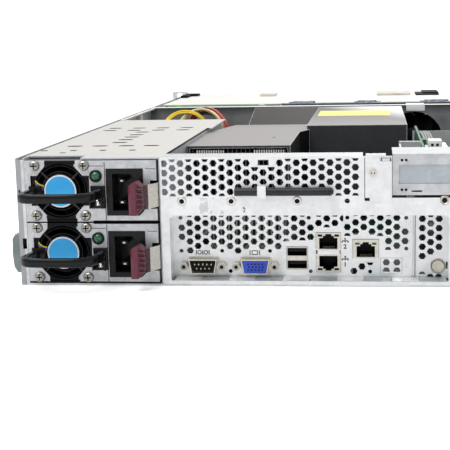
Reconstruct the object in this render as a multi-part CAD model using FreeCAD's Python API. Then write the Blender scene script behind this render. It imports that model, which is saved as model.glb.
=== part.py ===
import FreeCAD, Part
import math
import os

# Two-unit rack server with its lid off.
# Millimetres. +Z up, the rear panel faces -Y, X is the width.
# The origin is the centre of the tray's underside.

# ---- overall sizes ---------------------------------------------------------
BODY_W = 446.0            # outside width of the tray
DEPTH = 680.0             # rear panel to front edge of the tray
WALL_H = 83.5             # height of the side walls
SHEET = 1.2               # tray and panel sheet
THIN = 0.8                # light brackets and port plate
SLIDE_GAP = 0.3           # clearance round pieces that slide
SEAT_GAP = 0.2            # clearance round pieces that only sit

REAR = -DEPTH / 2
FRONT = DEPTH / 2
HALF_W = BODY_W / 2
INNER = HALF_W - SHEET    # inner face of a side wall
RAIL_PITCH = 480.0        # between the slide rail holes of a side
RAIL_Z = 44.0
RAIL_R = 2.6

# ---- power supplies --------------------------------------------------------
PSU_W = 86.5
PSU_H = 39.6
PSU_L = 194.5
PSU_X = -217.2            # left side of the supplies
PSU_PITCH = 40.6          # upper supply above lower supply
PSU_WALL = 1.0
FAN_SIZE = 40.0           # square frame of the supply's fan
FAN_DEPTH = 28.0
FAN_SCREW = 16.0          # half the fan's 32 mm screw square
FAN_X = PSU_X + 23.1      # fan axis
HANDLE_OUT = 30.0         # how far the handle stands off the supply
TAB_OUT = 20.0            # how far the release tab stands off the supply
LATCH_L = 42.0            # free length of the release spring inside the bay
LATCH_UP = 17.4           # middle of the release tab above the supply's floor
LATCH_SWING = 3.2         # room in the case for the spring to bend into
CAGE_L = 293.0            # depth of the supply cage

# ---- hexagonal vents -------------------------------------------------------
HEX_W = 4.8               # across corners, along X
HEX_H = 4.2               # across flats, along Z
HEX_DX = 5.28             # column pitch
HEX_DZ = 6.1              # row pitch

# ---- rear panel ------------------------------------------------------------
PANEL_X = -128.4          # left edge of the rear panel
PANEL_TOP = 83.4
FLANGE_D = 22.0           # top flange, front to back
VENT_TOP = 82.2
VENT_LOW = 58.4
VENT_X0 = -127.2
VENT_X1 = -1.6
BEAM_LOW = 46.0           # underside of the beam above the ports
PORT_X0 = -123.0          # port opening
PORT_X1 = 54.0
PORT_Z0 = 3.4
RECESS = 16.0             # port plate behind the rear panel
KEY_R = 2.65
KEY_Z = 61.6
KEY_X0 = -80.2
KEY_X1 = -17.9
CLIP_X = -62.8            # centre of the bent clip that holds the key
CLIP_W = 5.4

# ---- board and ports -------------------------------------------------------
BOARD_Z = 2.6
BOARD_T = 1.6
BOARD_W = 330.0
BOARD_D = 305.0
BOARD_X0 = PORT_X0
MEMORY_L = 80.0           # rear end of the memory sockets
SERIAL_X = -104.0
VGA_X = -69.5
DSUB_Z = 10.2
JACK_NUT = 12.5           # jackscrew from the connector's centre
USB_X = -42.4
LAN_X = -22.1
MGMT_X = 2.0
UID_X = 48.1
UID_Z = 10.4
UID_R = 4.0

# ---- riser -----------------------------------------------------------------
BRACKET_X0 = 1.3
BRACKET_X1 = 18.1
RISER_X0 = 18.8
RISER_X1 = 176.0
RISER_Z0 = 58.8
RISER_TOP = 84.7
RISER_FLANGE = 38.0
RISER_L = 215.0
SLOT_H = 12.2             # card slot window
SLOT_W = 108.0
SLOT_X0 = 60.0            # lower card slots
SLOT_LOW_Z = (12.0, 32.0)
SLOT_UP_Z = 65.8

# ---- air path --------------------------------------------------------------
BAFFLE_T = 2.0
LOW_TOP = 79.7           # roof of the rear duct
HIGH_TOP = 83.0          # roof of the front duct
RAMP_FOOT = 52.0         # where the ramp starts behind the rear duct
BAFFLE_X0 = -127.9
BAFFLE_X1 = -52.6
BAFFLE_X2 = -48.0
BAFFLE_X3 = 34.0
RAMP_X0 = -113.0
BAFFLE_L0 = 104.0
BAFFLE_L1 = 274.0
HIGH_L0 = 225.0
BAFFLE_L2 = 436.0
BAFFLE_FOOT = 20.0
FAN_WALL_L = 441.0
SYS_FAN = 60.0
SYS_FAN_D = 38.0
SYS_FAN_R = 28.5
SYS_FAN_Z = 48.5
SYS_FAN_X = 47.0          # axis of the middle fan
SYS_FAN_PITCH = 66.0
SYS_FANS = 5

# ---- drives ----------------------------------------------------------------
CAGE_Y0 = 146.0           # drive cage, rear edge
BAY_COLS = 4
BAY_ROWS = 3
BAY_W = (2 * INNER - 11.6) / BAY_COLS   # column pitch
BAY_H = 26.4              # row pitch
BEZEL_OUT = 6.0           # carriers stand this far in front of the tray
CARRIER_W = BAY_W - 3.0
CARRIER_H = 25.0
DRIVE_W = CARRIER_W - 3.4
DRIVE_H = 20.0
DRIVE_L = 147.0

# ---- front ears ------------------------------------------------------------
EAR_W = 18.3              # an ear stands this far out of the side wall
EAR_SPAN = BODY_W + 2 * EAR_W
EAR_T = 2.0
EAR_H = 86.5
EAR_HOLE_X = EAR_SPAN - 17.5   # between the rack screws, across
EAR_HOLE_Z = 76.2         # between the rack screws, up
EAR_HOLE_R = 3.5

V = FreeCAD.Vector


# ---- helpers ---------------------------------------------------------------
def inward(distance):
    """Y of a place measured inwards from the rear panel."""
    return REAR + distance


def block(x0, x1, y0, y1, z0, z1):
    return Part.makeBox(x1 - x0, y1 - y0, z1 - z0, V(x0, y0, z0))


def rod_x(x0, x1, y, z, radius):
    return Part.makeCylinder(radius, x1 - x0, V(x0, y, z), V(1, 0, 0))


def rod_y(x, z, radius, y0, y1):
    return Part.makeCylinder(radius, y1 - y0, V(x, y0, z), V(0, 1, 0))


def rod_z(x, y, radius, z0, z1):
    return Part.makeCylinder(radius, z1 - z0, V(x, y, z0), V(0, 0, 1))


def ring_wire(points):
    return Part.makePolygon(points + [points[0]])


def prism_x(points, x0, x1):
    """Outline of (y, z) points, swept along X."""
    wire = ring_wire([V(x0, y, z) for y, z in points])
    return Part.Face(wire).extrude(V(x1 - x0, 0, 0))


def prism_y(points, y0, y1):
    """Outline of (x, z) points, swept along Y."""
    wire = ring_wire([V(x, y0, z) for x, z in points])
    return Part.Face(wire).extrude(V(0, y1 - y0, 0))


def prism_z(points, z0, z1):
    """Outline of (x, y) points, swept along Z."""
    wire = ring_wire([V(x, y, z0) for x, y in points])
    return Part.Face(wire).extrude(V(0, 0, z1 - z0))


def rectangle(x0, x1, z0, z1):
    return [(x0, z0), (x1, z0), (x1, z1), (x0, z1)]


def sheet_y(outline, holes, y0, y1):
    """Flat sheet with many straight-sided holes, all as (x, z) outlines."""
    wires = [ring_wire([V(x, y0, z) for x, z in shape]) for shape in [outline] + holes]
    face = Part.makeFace(wires, "Part::FaceMakerBullseye")
    return face.extrude(V(0, y1 - y0, 0))


def join(first, *others):
    shape = first.multiFuse(list(others)) if others else first
    return shape.removeSplitter()


def cut(shape, *tools):
    return shape.cut(Part.Compound(list(tools))) if tools else shape


def mirrored(shape):
    return shape.mirror(V(0, 0, 0), V(1, 0, 0))


def rounded_box(x0, x1, y0, y1, z0, z1, radius, direction):
    """Box with its four edges along one direction rounded."""
    body = block(x0, x1, y0, y1, z0, z1)
    chosen = []
    for edge in body.Edges:
        run = edge.Vertexes[1].Point - edge.Vertexes[0].Point
        if run.cross(direction).Length < 1e-6:
            chosen.append(edge)
    return body.makeFillet(radius, chosen)


def write(name, shape):
    shape.exportStep(os.path.join("parts", name + ".step"))


# ---- hexagonal lattice -----------------------------------------------------
def hexagon(x, z):
    half = HEX_W / 2
    flat = HEX_H / 2
    return [(x + half, z), (x + half / 2, z + flat), (x - half / 2, z + flat),
            (x - half, z), (x - half / 2, z - flat), (x + half / 2, z - flat)]


def clipped(points, axis, limit, keep_below):
    """The part of an outline on one side of a straight line."""
    result = []
    sign = 1 if keep_below else -1
    for index, point in enumerate(points):
        other = points[(index + 1) % len(points)]
        here = sign * (limit - point[axis])
        there = sign * (limit - other[axis])
        if here >= 0:
            result.append(point)
        if here * there < 0:
            share = here / (here - there)
            result.append((point[0] + share * (other[0] - point[0]),
                           point[1] + share * (other[1] - point[1])))
    return result


def area(points):
    total = 0.0
    for index, (x, z) in enumerate(points):
        nx, nz = points[(index + 1) % len(points)]
        total += x * nz - nx * z
    return abs(total) / 2


def hex_field(first_x, columns, first_z, window, blocked):
    """Hexagons of a lattice that fall in a window and off the blocked areas.

    window and blocked are (x0, x1, z0, z1). A hexagon is trimmed at the window's
    edge and left out where its centre is in a blocked area.
    """
    x0, x1, z0, z1 = window
    rows = int((z1 - z0) / HEX_DZ) + 3
    holes = []
    for column in range(columns):
        x = first_x + column * HEX_DX
        start = first_z + (column % 2) * HEX_DZ / 2
        for row in range(-rows, rows):
            z = start + row * HEX_DZ
            if any(a < x < b and c < z < d for a, b, c, d in blocked):
                continue
            shape = hexagon(x, z)
            for axis, limit, below in ((0, x0, False), (0, x1, True), (1, z0, False), (1, z1, True)):
                shape = clipped(shape, axis, limit, below)
            if len(shape) > 2 and area(shape) > HEX_W * 0.6:
                holes.append(shape)
    return holes


# ---- chassis sheet metal ---------------------------------------------------
def base_tray():
    floor = block(-HALF_W, HALF_W, REAR, FRONT, 0, SHEET)
    left = block(-HALF_W, -INNER, REAR, FRONT, 0, WALL_H)
    right = block(INNER, HALF_W, REAR, FRONT, 0, WALL_H)
    lip = block(-INNER, PSU_X - SEAT_GAP, REAR, REAR + SHEET, 0, WALL_H - 1)
    notches = [block(-INNER - 1, PSU_X - 3.4, REAR - 1, REAR + SHEET + 1, 60, 63),
               block(PSU_X - 3.6, PSU_X - 0.8, REAR - 1, REAR + SHEET + 1, 24, 31)]
    hem_y0 = inward(CAGE_L + 3)
    hem_y1 = inward(FAN_WALL_L - 1)
    hems = [block(-INNER, -INNER + 5, hem_y0, hem_y1, WALL_H - SHEET, WALL_H),
            block(INNER - 5, INNER, hem_y0, hem_y1, WALL_H - SHEET, WALL_H)]
    stands = []
    for column in range(3):
        for row in range(3):
            x = BOARD_X0 + 12 + column * (BOARD_W - 24) / 2
            y = inward(RECESS + 14) + row * (BOARD_D - 28) / 2
            stands.append(block(x - 3, x + 3, y - 3, y + 3, SHEET, BOARD_Z))
    tray = join(floor, left, right, cut(lip, *notches), *hems, *stands)
    rail_holes = [rod_x(-HALF_W - 1, HALF_W + 1, side * RAIL_PITCH / 2, RAIL_Z, RAIL_R) for side in (-1, 1)]
    return cut(tray, *rail_holes)


def vent_holes():
    """Upper vent, with a plain patch round the key clip's slot."""
    lattice_x = -115.1 - 2 * HEX_DX
    holes = hex_field(lattice_x, 24, 61.2, (VENT_X0, VENT_X1, VENT_LOW, VENT_TOP), [])
    kept = []
    for shape in holes:
        middle = sum(x for x, z in shape) / len(shape)
        if abs(middle - CLIP_X) < 8.5:
            shape = clipped(shape, 1, 77.0, True)
        if len(shape) > 2 and area(shape) > 2:
            kept.append(shape)
    return kept


def port_opening():
    """Outline of the opening in front of the ports, one corner rounded."""
    radius = 3.2
    corner = []
    for step in range(5):
        turn = math.radians(90 * step / 4)
        corner.append((PORT_X1 - radius + radius * math.cos(turn),
                       BEAM_LOW - radius + radius * math.sin(turn)))
    left = [(PORT_X0 + 2.0, BEAM_LOW), (PORT_X0 + 2.0, BEAM_LOW - 1.6), (PORT_X0, BEAM_LOW - 1.6)]
    return [(PORT_X0, PORT_Z0), (PORT_X1, PORT_Z0)] + corner + left


def rear_panel():
    floor = SHEET
    outline = [(PANEL_X, floor), (INNER, floor), (INNER, PANEL_TOP), (RISER_X1 + 2, PANEL_TOP),
               (RISER_X1 + 2, RISER_Z0 - 1.8), (BRACKET_X1 + 0.4, RISER_Z0 - 1.8),
               (BRACKET_X1 + 0.4, PANEL_TOP), (PANEL_X, PANEL_TOP)]
    slot = rectangle(CLIP_X + 0.8 - 3.45, CLIP_X + 0.8 + 3.45, 78.0, 81.5)
    windows = [rectangle(SLOT_X0, SLOT_X0 + SLOT_W, z, z + SLOT_H) for z in SLOT_LOW_Z]
    side_vent = [rectangle(x, x + 4.2, z, z + 28) for x in (187, 194.5, 202, 209.5) for z in (12, 46)]
    panel = sheet_y(outline, vent_holes() + [port_opening(), slot] + windows + side_vent,
                    REAR, REAR + SHEET)
    flange = block(PANEL_X, BRACKET_X0 - 1, REAR, REAR + FLANGE_D, PANEL_TOP - 1, PANEL_TOP)
    flange_right = block(RISER_X1 + 2, INNER, REAR, REAR + FLANGE_D, PANEL_TOP - 1, PANEL_TOP)
    clip_front = REAR - 2 * KEY_R - 2 * SEAT_GAP - 1
    clip = join(block(CLIP_X - CLIP_W / 2, CLIP_X + CLIP_W / 2, clip_front, REAR, 64.8, 65.8),
                block(CLIP_X - CLIP_W / 2, CLIP_X + CLIP_W / 2, clip_front, clip_front + 1, 57.7, 65.8))
    hole_x = (-114.8, -82.9, -40.9, -9.4)
    rims = [prism_y(circle_points(x, 55.1, 2.45, 14), REAR - 0.4, REAR + 2.4) for x in hole_x]
    bores = [prism_y(circle_points(x, 55.1, 1.7, 14), REAR - 1, REAR + 3) for x in hole_x]
    return cut(join(panel, flange, flange_right, clip, *rims), *bores)


def d_outline(x, z, width, height, slope=1.6):
    """Outline of a D-shaped connector, wide at the top."""
    return [(x - width / 2 + slope, z - height / 2), (x + width / 2 - slope, z - height / 2),
            (x + width / 2, z + height / 2), (x - width / 2, z + height / 2)]


def circle_points(x, z, radius, count=10):
    return [(x + radius * math.cos(2 * math.pi * i / count), z + radius * math.sin(2 * math.pi * i / count))
            for i in range(count)]


def slot_outline(x, y, length, width):
    """Long hole with round ends, along X."""
    radius = width / 2
    outline = []
    for side in (1, -1):
        for step in range(4):
            turn = math.radians(90 * side - 60 * side * step)
            outline.append((x + side * (length / 2 - radius) + side * radius * abs(math.cos(turn)),
                            y + radius * math.sin(turn)))
    return outline


def port_plate_holes():
    """Vents, small round holes and cut-outs of the port plate."""
    top = BEAM_LOW - 0.2
    left = hex_field(-118.1, 21, 16.9, (-121.0, -12.4, 18.0, top),
                     [(-122, -10, 10, 17.5), (-121, -116, 38, 60), (-121, -116, 17, 27), (-109, -96, 16, 22),
                      (-93, -90, 16, 21), (-79, -68, 16, 21), (-62, -58, 16, 21), (-52, -10, 16, 26.5),
                      (-36, -33, 38.5, 60), (-30, -10, 16, 37)])
    middle = hex_field(-9.8, 8, 35.6, (-12.5, 30.0, 20.0, top),
                       [(-12, -7, 38, 60), (-12, 14, 16, 31), (10, 20, 16, 24), (25, 30, 16, 24), (25, 30, 36, 60)])
    right = hex_field(38.1, 3, 16.6, (35.5, 52.0, 4.6, top), [(46, 52, 4, 18), (41, 52, 4, 17), (36, 46, 6, 13)])
    window = [hexagon(x, 12.4) for x in (15.2, 22.0)]
    window += [clipped(hexagon(x, 7.0), 1, 6.0, False) for x in (15.2, 22.0)]
    half_at = ((-49.5, 26.0), (-38.9, 26.7), (-23.1, 35.2), (-9.8, 29.6), (11.2, 29.6), (16.3, 20.5),
               (43.3, 2.9), (48.6, 2.9))
    halves = [clipped(hexagon(x, z), 1, z, False) for x, z in half_at]
    low = [hexagon(-5.7, 6.6), hexagon(-0.5, 9.7), clipped(hexagon(4.8, 12.6), 1, 12.4, True)]
    round_at = ((-118.8, 41.8), (-118.7, 19.8), (-91.7, 19.8), (-86.3, 6.3), (-60.2, 19.8), (-34.7, 41.7),
                (-33.7, 6.3), (-9.8, 41.8), (4.8, 6.3), (27.9, 21.5), (27.8, 41.6))
    rounds = [circle_points(x, z, 1.35) for x, z in round_at]
    rounds += [circle_points(x + side * JACK_NUT, DSUB_Z, 1.6, 8) for x in (SERIAL_X, VGA_X) for side in (-1, 1)]
    cutouts = [d_outline(SERIAL_X, DSUB_Z, 20.0, 10.6), d_outline(VGA_X, DSUB_Z, 20.0, 10.6),
               rectangle(USB_X - 7.1, USB_X + 7.1, 7.4, 22.9),
               rectangle(LAN_X - 8.2, LAN_X + 8.2, 5.6, 32.2),
               rectangle(MGMT_X - 8.5, MGMT_X + 8.5, 14.6, 27.8),
               circle_points(UID_X, UID_Z, UID_R + 0.3, 20),
               rectangle(UID_X + UID_R + 0.9, 54.4, 8.3, 13.0)]
    return left + middle + right + window + halves + low + rounds + cutouts


def io_plate():
    y0 = inward(RECESS)
    x0 = PORT_X0 - 1.4
    x1 = PORT_X1 + 2.0
    top = BEAM_LOW + 2.0
    low = BOARD_Z + BOARD_T + 0.3
    panel = sheet_y(rectangle(x0, x1, PORT_Z0 - 1.0, top), port_plate_holes(), y0, y0 + THIN)
    back = REAR + SHEET
    returns = [block(x0, x0 + THIN, back, y0 + THIN, PORT_Z0 - 1.0, top),
               block(x1 - THIN, x1, back, y0 + THIN, PORT_Z0 - 1.0, top),
               block(x0, x1, back, y0 + THIN, top - THIN, top)]
    fold = [block(31.0, 31.9, y0 - 2.2, y0, low, top - THIN),
            block(32.5, 33.2, y0 - 1.6, y0, low, top - THIN)]
    return join(panel, *returns, *fold)


def psu_cage():
    y0 = REAR + SHEET + SEAT_GAP
    y1 = inward(CAGE_L)
    top = PANEL_TOP
    wall_x = PANEL_X - 1.0
    left_x = PSU_X - 1.4
    roof = block(-INNER, wall_x + 1.0, inward(14), y1, top - 1.0, top)
    roof_edge = block(wall_x + 1.0, wall_x + 5.0, inward(207), y1, top - 1.0, top)
    mouth = block(PSU_X + 37, wall_x + 1.0, y0, inward(14), top - 1.0, top)
    right = block(wall_x, wall_x + 1.0, y0, y1, SHEET, top)
    left = block(left_x, left_x + 1.0, y0, y1, SHEET, top)
    shelf_z = 1.6 + PSU_H + 0.25
    ledges = [block(left_x, PSU_X + 12, y0 + 6, inward(PSU_L), shelf_z, shelf_z + 0.5),
              block(PSU_X + PSU_W - 12, wall_x + 1.0, y0 + 6, inward(PSU_L), shelf_z, shelf_z + 0.5)]
    slots = []
    places = [(x, 74) for x in (-203, -185, -166, -148)]
    places += [(-176, reach) for reach in (97, 117, 137, 155, 177)]
    places += [(x, reach) for reach in (193, 213) for x in (-206, -186, -166, -146)]
    for x, reach in places:
        slots.append(prism_z(slot_outline(x, inward(reach), 12, 6), top - 2, top + 1))
    for level in range(2):
        z = 1.6 + level * PSU_PITCH + PSU_H / 2
        slots.append(block(wall_x - 1, wall_x + 2, inward(6), inward(13), z - 5, z + 5))
    return cut(join(roof, roof_edge, mouth, right, left, *ledges), *slots)


def rack_ears():
    ears = []
    for side in (-1, 1):
        x0 = HALF_W
        x1 = EAR_SPAN / 2
        plate = prism_y([(x0, 0.4), (x1 - 1.2, 0.4), (x1, 1.6), (x1, EAR_H - 1.2), (x1 - 1.2, EAR_H), (x0, EAR_H)],
                        FRONT - EAR_T, FRONT)
        leg = block(x0, x0 + 1.5, FRONT - 42, FRONT - EAR_T, 6, WALL_H - 3)
        ear = join(plate, leg)
        middle = EAR_H / 2 + 0.2
        holes = [rod_y(EAR_HOLE_X / 2, middle + sign * EAR_HOLE_Z / 2, EAR_HOLE_R,
                       FRONT - EAR_T - 1, FRONT + 1) for sign in (-1, 1)]
        ear = cut(ear, *holes)
        ears.append(mirrored(ear) if side < 0 else ear)
    return Part.Compound(ears)


def rail_bumper():
    """Moulded end stop of the slide rail, on the left wall."""
    outline = [(-HALF_W, 8.0), (-HALF_W, 33.5), (-HALF_W - 3.2, 33.5), (-HALF_W - 5.2, 30.5),
               (-HALF_W - 5.6, 20.0), (-HALF_W - 4.8, 11.5), (-HALF_W - 2.6, 8.0)]
    return prism_y(outline, REAR + 1.5, REAR + 16)


# ---- boards ----------------------------------------------------------------
def motherboard():
    top = BOARD_Z + BOARD_T
    y0 = inward(RECESS + THIN + 0.6)
    plate = block(BOARD_X0, BOARD_X0 + BOARD_W, y0, y0 + BOARD_D, BOARD_Z, top)
    sockets = []
    for bank in range(2):
        for slot in range(3):
            x = -40 + bank * 96 + slot * 9
            sockets.append(block(x, x + 6.5, inward(MEMORY_L), inward(MEMORY_L + 132), top, top + 8))
    chips = [block(100, 138, inward(100), inward(138), top, top + 9),
             block(150, 172, inward(190), inward(212), top, top + 3)]
    plugs = [block(186 + 9 * row, 192 + 9 * row, inward(250), inward(300), top, top + 11) for row in range(2)]
    return join(plate, *sockets, *chips, *plugs)


def heatsink(x0, x1, reach0, reach1, fins, low, high):
    y0 = inward(reach0)
    y1 = inward(reach1)
    base = block(x0, x1, y0, y1, low, low + 6)
    foot = block((x0 + x1) / 2 - 20, (x0 + x1) / 2 + 20, (y0 + y1) / 2 - 20, (y0 + y1) / 2 + 20,
                 BOARD_Z + BOARD_T, low)
    pitch = (x1 - x0 - 0.6) / (fins - 1)
    blades = [block(x0 + i * pitch, x0 + i * pitch + 0.6, y0, y1, low + 6, high) for i in range(fins)]
    return join(base, foot, *blades)


def cpu_heatsinks():
    rear = heatsink(BAFFLE_X0 + 3.5, BAFFLE_X1 - 3.5, BAFFLE_L0 + 2, BAFFLE_L0 + 92, 22, 26, LOW_TOP - 3)
    front = heatsink(BAFFLE_X2 + 4, BAFFLE_X3 - 4, 240, 318, 14, 14, HIGH_TOP - 8)
    return Part.Compound([rear, front])


def dimm_modules():
    """Memory modules standing in the board's sockets."""
    sticks = []
    for bank in range(2):
        for slot in range(3):
            x = -40 + bank * 96 + slot * 9 + 2.6
            z = BOARD_Z + BOARD_T + 8
            stick = block(x, x + 1.3, inward(MEMORY_L + 1), inward(MEMORY_L + 131), z, z + 26)
            chips = block(x + 1.3, x + 2.5, inward(MEMORY_L + 8), inward(MEMORY_L + 124), z + 6, z + 20)
            sticks.append(join(stick, chips))
    return Part.Compound(sticks)


# ---- air path --------------------------------------------------------------
def baffle_solid(inset):
    """Duct over the processors; inset is zero outside and one wall inside."""
    foot = BAFFLE_FOOT - inset
    seam = inward(BAFFLE_L1) - 0.01
    end = inward(BAFFLE_L2) + inset
    rear_plan = [(BAFFLE_X0 + inset, inward(BAFFLE_L0) - inset), (BAFFLE_X1 - inset, inward(BAFFLE_L0) - inset),
                 (BAFFLE_X1 - inset, inward(206)), (BAFFLE_X2 + 2, inward(HIGH_L0) + inset),
                 (BAFFLE_X2 + 2, inward(BAFFLE_L1)), (RAMP_X0 + inset, inward(BAFFLE_L1)),
                 (BAFFLE_X0 + inset, inward(207))]
    rear = prism_z(rear_plan, foot, LOW_TOP - inset)
    slope = [(seam, foot), (end, foot), (end, HIGH_TOP - inset), (seam, RAMP_FOOT - inset)]
    ramp = prism_x(slope, RAMP_X0 + inset, BAFFLE_X2 + 2)
    front = block(BAFFLE_X2 + inset, BAFFLE_X3 - inset, inward(HIGH_L0) + inset, end, foot, HIGH_TOP - inset)
    return join(rear, ramp, front)


def air_baffle():
    shell = baffle_solid(0).cut(baffle_solid(BAFFLE_T))
    pin = rod_z(-70, inward(160), 1.6, LOW_TOP - 0.5, LOW_TOP + 0.7)
    left = BAFFLE_X0 + 14
    right = BAFFLE_X3 - BAFFLE_T
    stand = BOARD_Z + BOARD_T + SEAT_GAP
    feet = [block(left, left + BAFFLE_T, inward(120), inward(134), stand, BAFFLE_FOOT + 2),
            block(BAFFLE_X0, left + BAFFLE_T, inward(120), inward(134), BAFFLE_FOOT, BAFFLE_FOOT + 2)]
    for reach in (235, 300):
        feet.append(block(right, right + BAFFLE_T, inward(reach), inward(reach + 14), stand, BAFFLE_FOOT + 2))
    return join(shell, pin, *feet)


def fan_axis(index):
    return SYS_FAN_X + (index - 2) * SYS_FAN_PITCH


def fan_wall():
    y0 = inward(FAN_WALL_L)
    outline = rectangle(-INNER, INNER, SHEET, WALL_H)
    rings = [circle_points(fan_axis(i), SYS_FAN_Z, SYS_FAN_R, 24) for i in range(SYS_FANS)]
    plate = sheet_y(outline, rings, y0, y0 + SHEET)
    top = block(-INNER, INNER, y0, y0 + 14, WALL_H - SHEET, WALL_H)
    foot = block(-INNER, INNER, y0, y0 + 42, SHEET, 2 * SHEET)
    walls = []
    for i in range(SYS_FANS + 1):
        x = fan_axis(i) - SYS_FAN_PITCH / 2
        walls.append(block(x - 0.5, x + 0.5, y0, y0 + 40, 2 * SHEET, WALL_H - SHEET))
    return join(plate, top, foot, *walls)


def fan_frames():
    """Square frames of the system fans, with three spokes and a motor plate."""
    frames = []
    y0 = inward(FAN_WALL_L) + SHEET + 0.2
    y1 = y0 + SYS_FAN_D
    half = SYS_FAN / 2
    for i in range(SYS_FANS):
        x = fan_axis(i)
        frame = sheet_y(rectangle(x - half, x + half, SYS_FAN_Z - half, SYS_FAN_Z + half),
                        [circle_points(x, SYS_FAN_Z, SYS_FAN_R, 24)], y0, y1)
        hub = prism_y(circle_points(x, SYS_FAN_Z, 13, 12), y1 - 3, y1)
        spokes = []
        for turn in (30, 150, 270):
            spoke = block(x + 12, x + SYS_FAN_R + 0.4, y1 - 3, y1, SYS_FAN_Z - 1.5, SYS_FAN_Z + 1.5)
            spoke.rotate(V(x, 0, SYS_FAN_Z), V(0, 1, 0), turn)
            spokes.append(spoke)
        stand = block(x - half + 3, x + half - 3, y0, y1, 2 * SHEET, SYS_FAN_Z - half)
        frames.append(join(frame, hub, stand, *spokes))
    return Part.Compound(frames)


def impeller(x, z, y0, y1, hub_r, tip_r, blades, pitch):
    """Axial fan rotor with flat blades set at an angle on a plain hub."""
    hub = prism_y(circle_points(x, z, hub_r, 14), y0, y1)
    chord = (y1 - y0) * 0.82
    middle = (y0 + y1) / 2
    reach = math.sqrt(tip_r ** 2 - (chord / 2 * math.sin(math.radians(pitch)) + 0.6) ** 2)
    vanes = []
    for i in range(blades):
        vane = block(x - 0.6, x + 0.6, middle - chord / 2, middle + chord / 2, z + hub_r * 0.8, z + reach)
        vane.rotate(V(x, middle, z), V(0, 0, 1), pitch)
        vane.rotate(V(x, middle, z), V(0, 1, 0), 360.0 * i / blades)
        vanes.append(vane)
    return join(hub, *vanes)


def system_rotor(index):
    y0 = inward(FAN_WALL_L) + SHEET + 1.5
    return impeller(fan_axis(index), SYS_FAN_Z, y0, y0 + SYS_FAN_D - 5, 12.0, SYS_FAN_R - 1.4, 5, 38)


# ---- power supplies --------------------------------------------------------
def psu_floor(level):
    return 1.6 + level * PSU_PITCH


def fan_opening(x, z):
    """Supply face opening: the fan square with a tab left at each screw."""
    half = FAN_SIZE / 2 - 0.6
    tab = 9.6
    return [(x - half + tab, z - half), (x + half - tab, z - half), (x + half - tab, z - half + 3.5),
            (x + half - 4.2, z - half + tab), (x + half, z - half + tab), (x + half, z + half - tab),
            (x + half - 4.2, z + half - tab), (x + half - tab, z + half - 3.5), (x + half - tab, z + half),
            (x - half + tab, z + half), (x - half + tab, z + half - 3.5), (x - half + 4.2, z + half - tab),
            (x - half, z + half - tab), (x - half, z - half + tab), (x - half + 4.2, z - half + tab),
            (x - half + tab, z - half + 3.5)]


def inlet_outline(level, grow):
    """Moulded body of the mains inlet, one top corner chamfered."""
    z = psu_floor(level)
    x0 = PSU_X + 53.6 - grow
    x1 = PSU_X + 77.8 + grow
    low = z + 3.9 - grow
    high = z + 34.3 + grow
    return [(x0, low), (x1 - 3.0, low), (x1, low + 3.0), (x1, high), (x0, high)]


def psu_case(level):
    z = psu_floor(level)
    x1 = PSU_X + PSU_W
    y1 = inward(PSU_L)
    holes = [fan_opening(FAN_X, z + PSU_H / 2 + 0.3), inlet_outline(level, 0.1),
             circle_points(PSU_X + 47.0, z + 29.6, 2.6, 12)]
    face = sheet_y(rectangle(PSU_X, x1, z, z + PSU_H), holes, REAR, REAR + PSU_WALL)
    tube = cut(block(PSU_X, x1, REAR, y1, z, z + PSU_H),
               block(PSU_X + PSU_WALL, x1 - PSU_WALL, REAR - 1, y1 + 1, z + PSU_WALL, z + PSU_H - PSU_WALL))
    divider = block(PSU_X + 45.0, PSU_X + 46.0, REAR + PSU_WALL, inward(40), z + PSU_WALL, z + PSU_H - PSU_WALL)
    board = join(block(PSU_X + PSU_WALL, x1 - PSU_WALL, inward(48), y1 - 1, z + 6, z + 7.6),
                 block(PSU_X + 20, PSU_X + 68, y1 - 2, y1 + 6, z + 6, z + 7.6))
    caps = [prism_z(circle_points(PSU_X + 20 + 22 * i, inward(90), 9, 10), z + 7.6, z + 34) for i in range(3)]
    coils = [block(PSU_X + 12 + 26 * i, PSU_X + 32 + 26 * i, inward(120), inward(150), z + 7.6, z + 30)
             for i in range(3)]
    middle = z + LATCH_UP
    latch_room = block(x1 - PSU_WALL - LATCH_SWING, x1 + 1, REAR - 1, inward(LATCH_L - 2.2), middle - 9.2, middle + 9.2)
    return join(cut(join(face, tube), latch_room), divider, board, *caps, *coils)


def psu_fan_frame(level):
    """Fan frame with a fixed motor plate and curved spokes at the rear."""
    x = FAN_X
    z = psu_floor(level) + PSU_H / 2
    half = FAN_SIZE / 2 - 1.4
    y0 = REAR + PSU_WALL
    y1 = y0 + FAN_DEPTH
    frame = sheet_y(rectangle(x - half, x + half, z - half, z + half),
                    [circle_points(x, z, half - 0.9, 28)], y0, y1)
    hub = prism_y(circle_points(x, z, 11.5, 18), y0 - 0.8, y0 + 2)
    spokes = []
    for turn in (35, 125, 215, 305):
        spoke = block(x + 10, x + half - 0.3, y0, y0 + 2, z - 0.8, z + 0.8)
        spoke.rotate(V(x, 0, z), V(0, 1, 0), turn)
        spokes.append(spoke)
    return join(frame, hub, *spokes)


def psu_rotor(level):
    z = psu_floor(level) + PSU_H / 2
    y0 = REAR + PSU_WALL + 3
    return impeller(FAN_X, z, y0, y0 + FAN_DEPTH - 6, 9.0, FAN_SIZE / 2 - 3.2, 5, 35)


def psu_screws(level):
    """Pan-head screws that hold the fan to the supply's face."""
    z = psu_floor(level) + PSU_H / 2 + 0.3
    screws = []
    for dx in (-FAN_SCREW, FAN_SCREW):
        for dz in (-FAN_SCREW, FAN_SCREW):
            rim = prism_y(circle_points(FAN_X + dx, z + dz, 3.7, 12), REAR - 1.6, REAR)
            crown = prism_y(circle_points(FAN_X + dx, z + dz, 2.8, 12), REAR - 2.4, REAR - 1.6)
            screws.append(join(rim, crown))
    return Part.Compound(screws)


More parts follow.
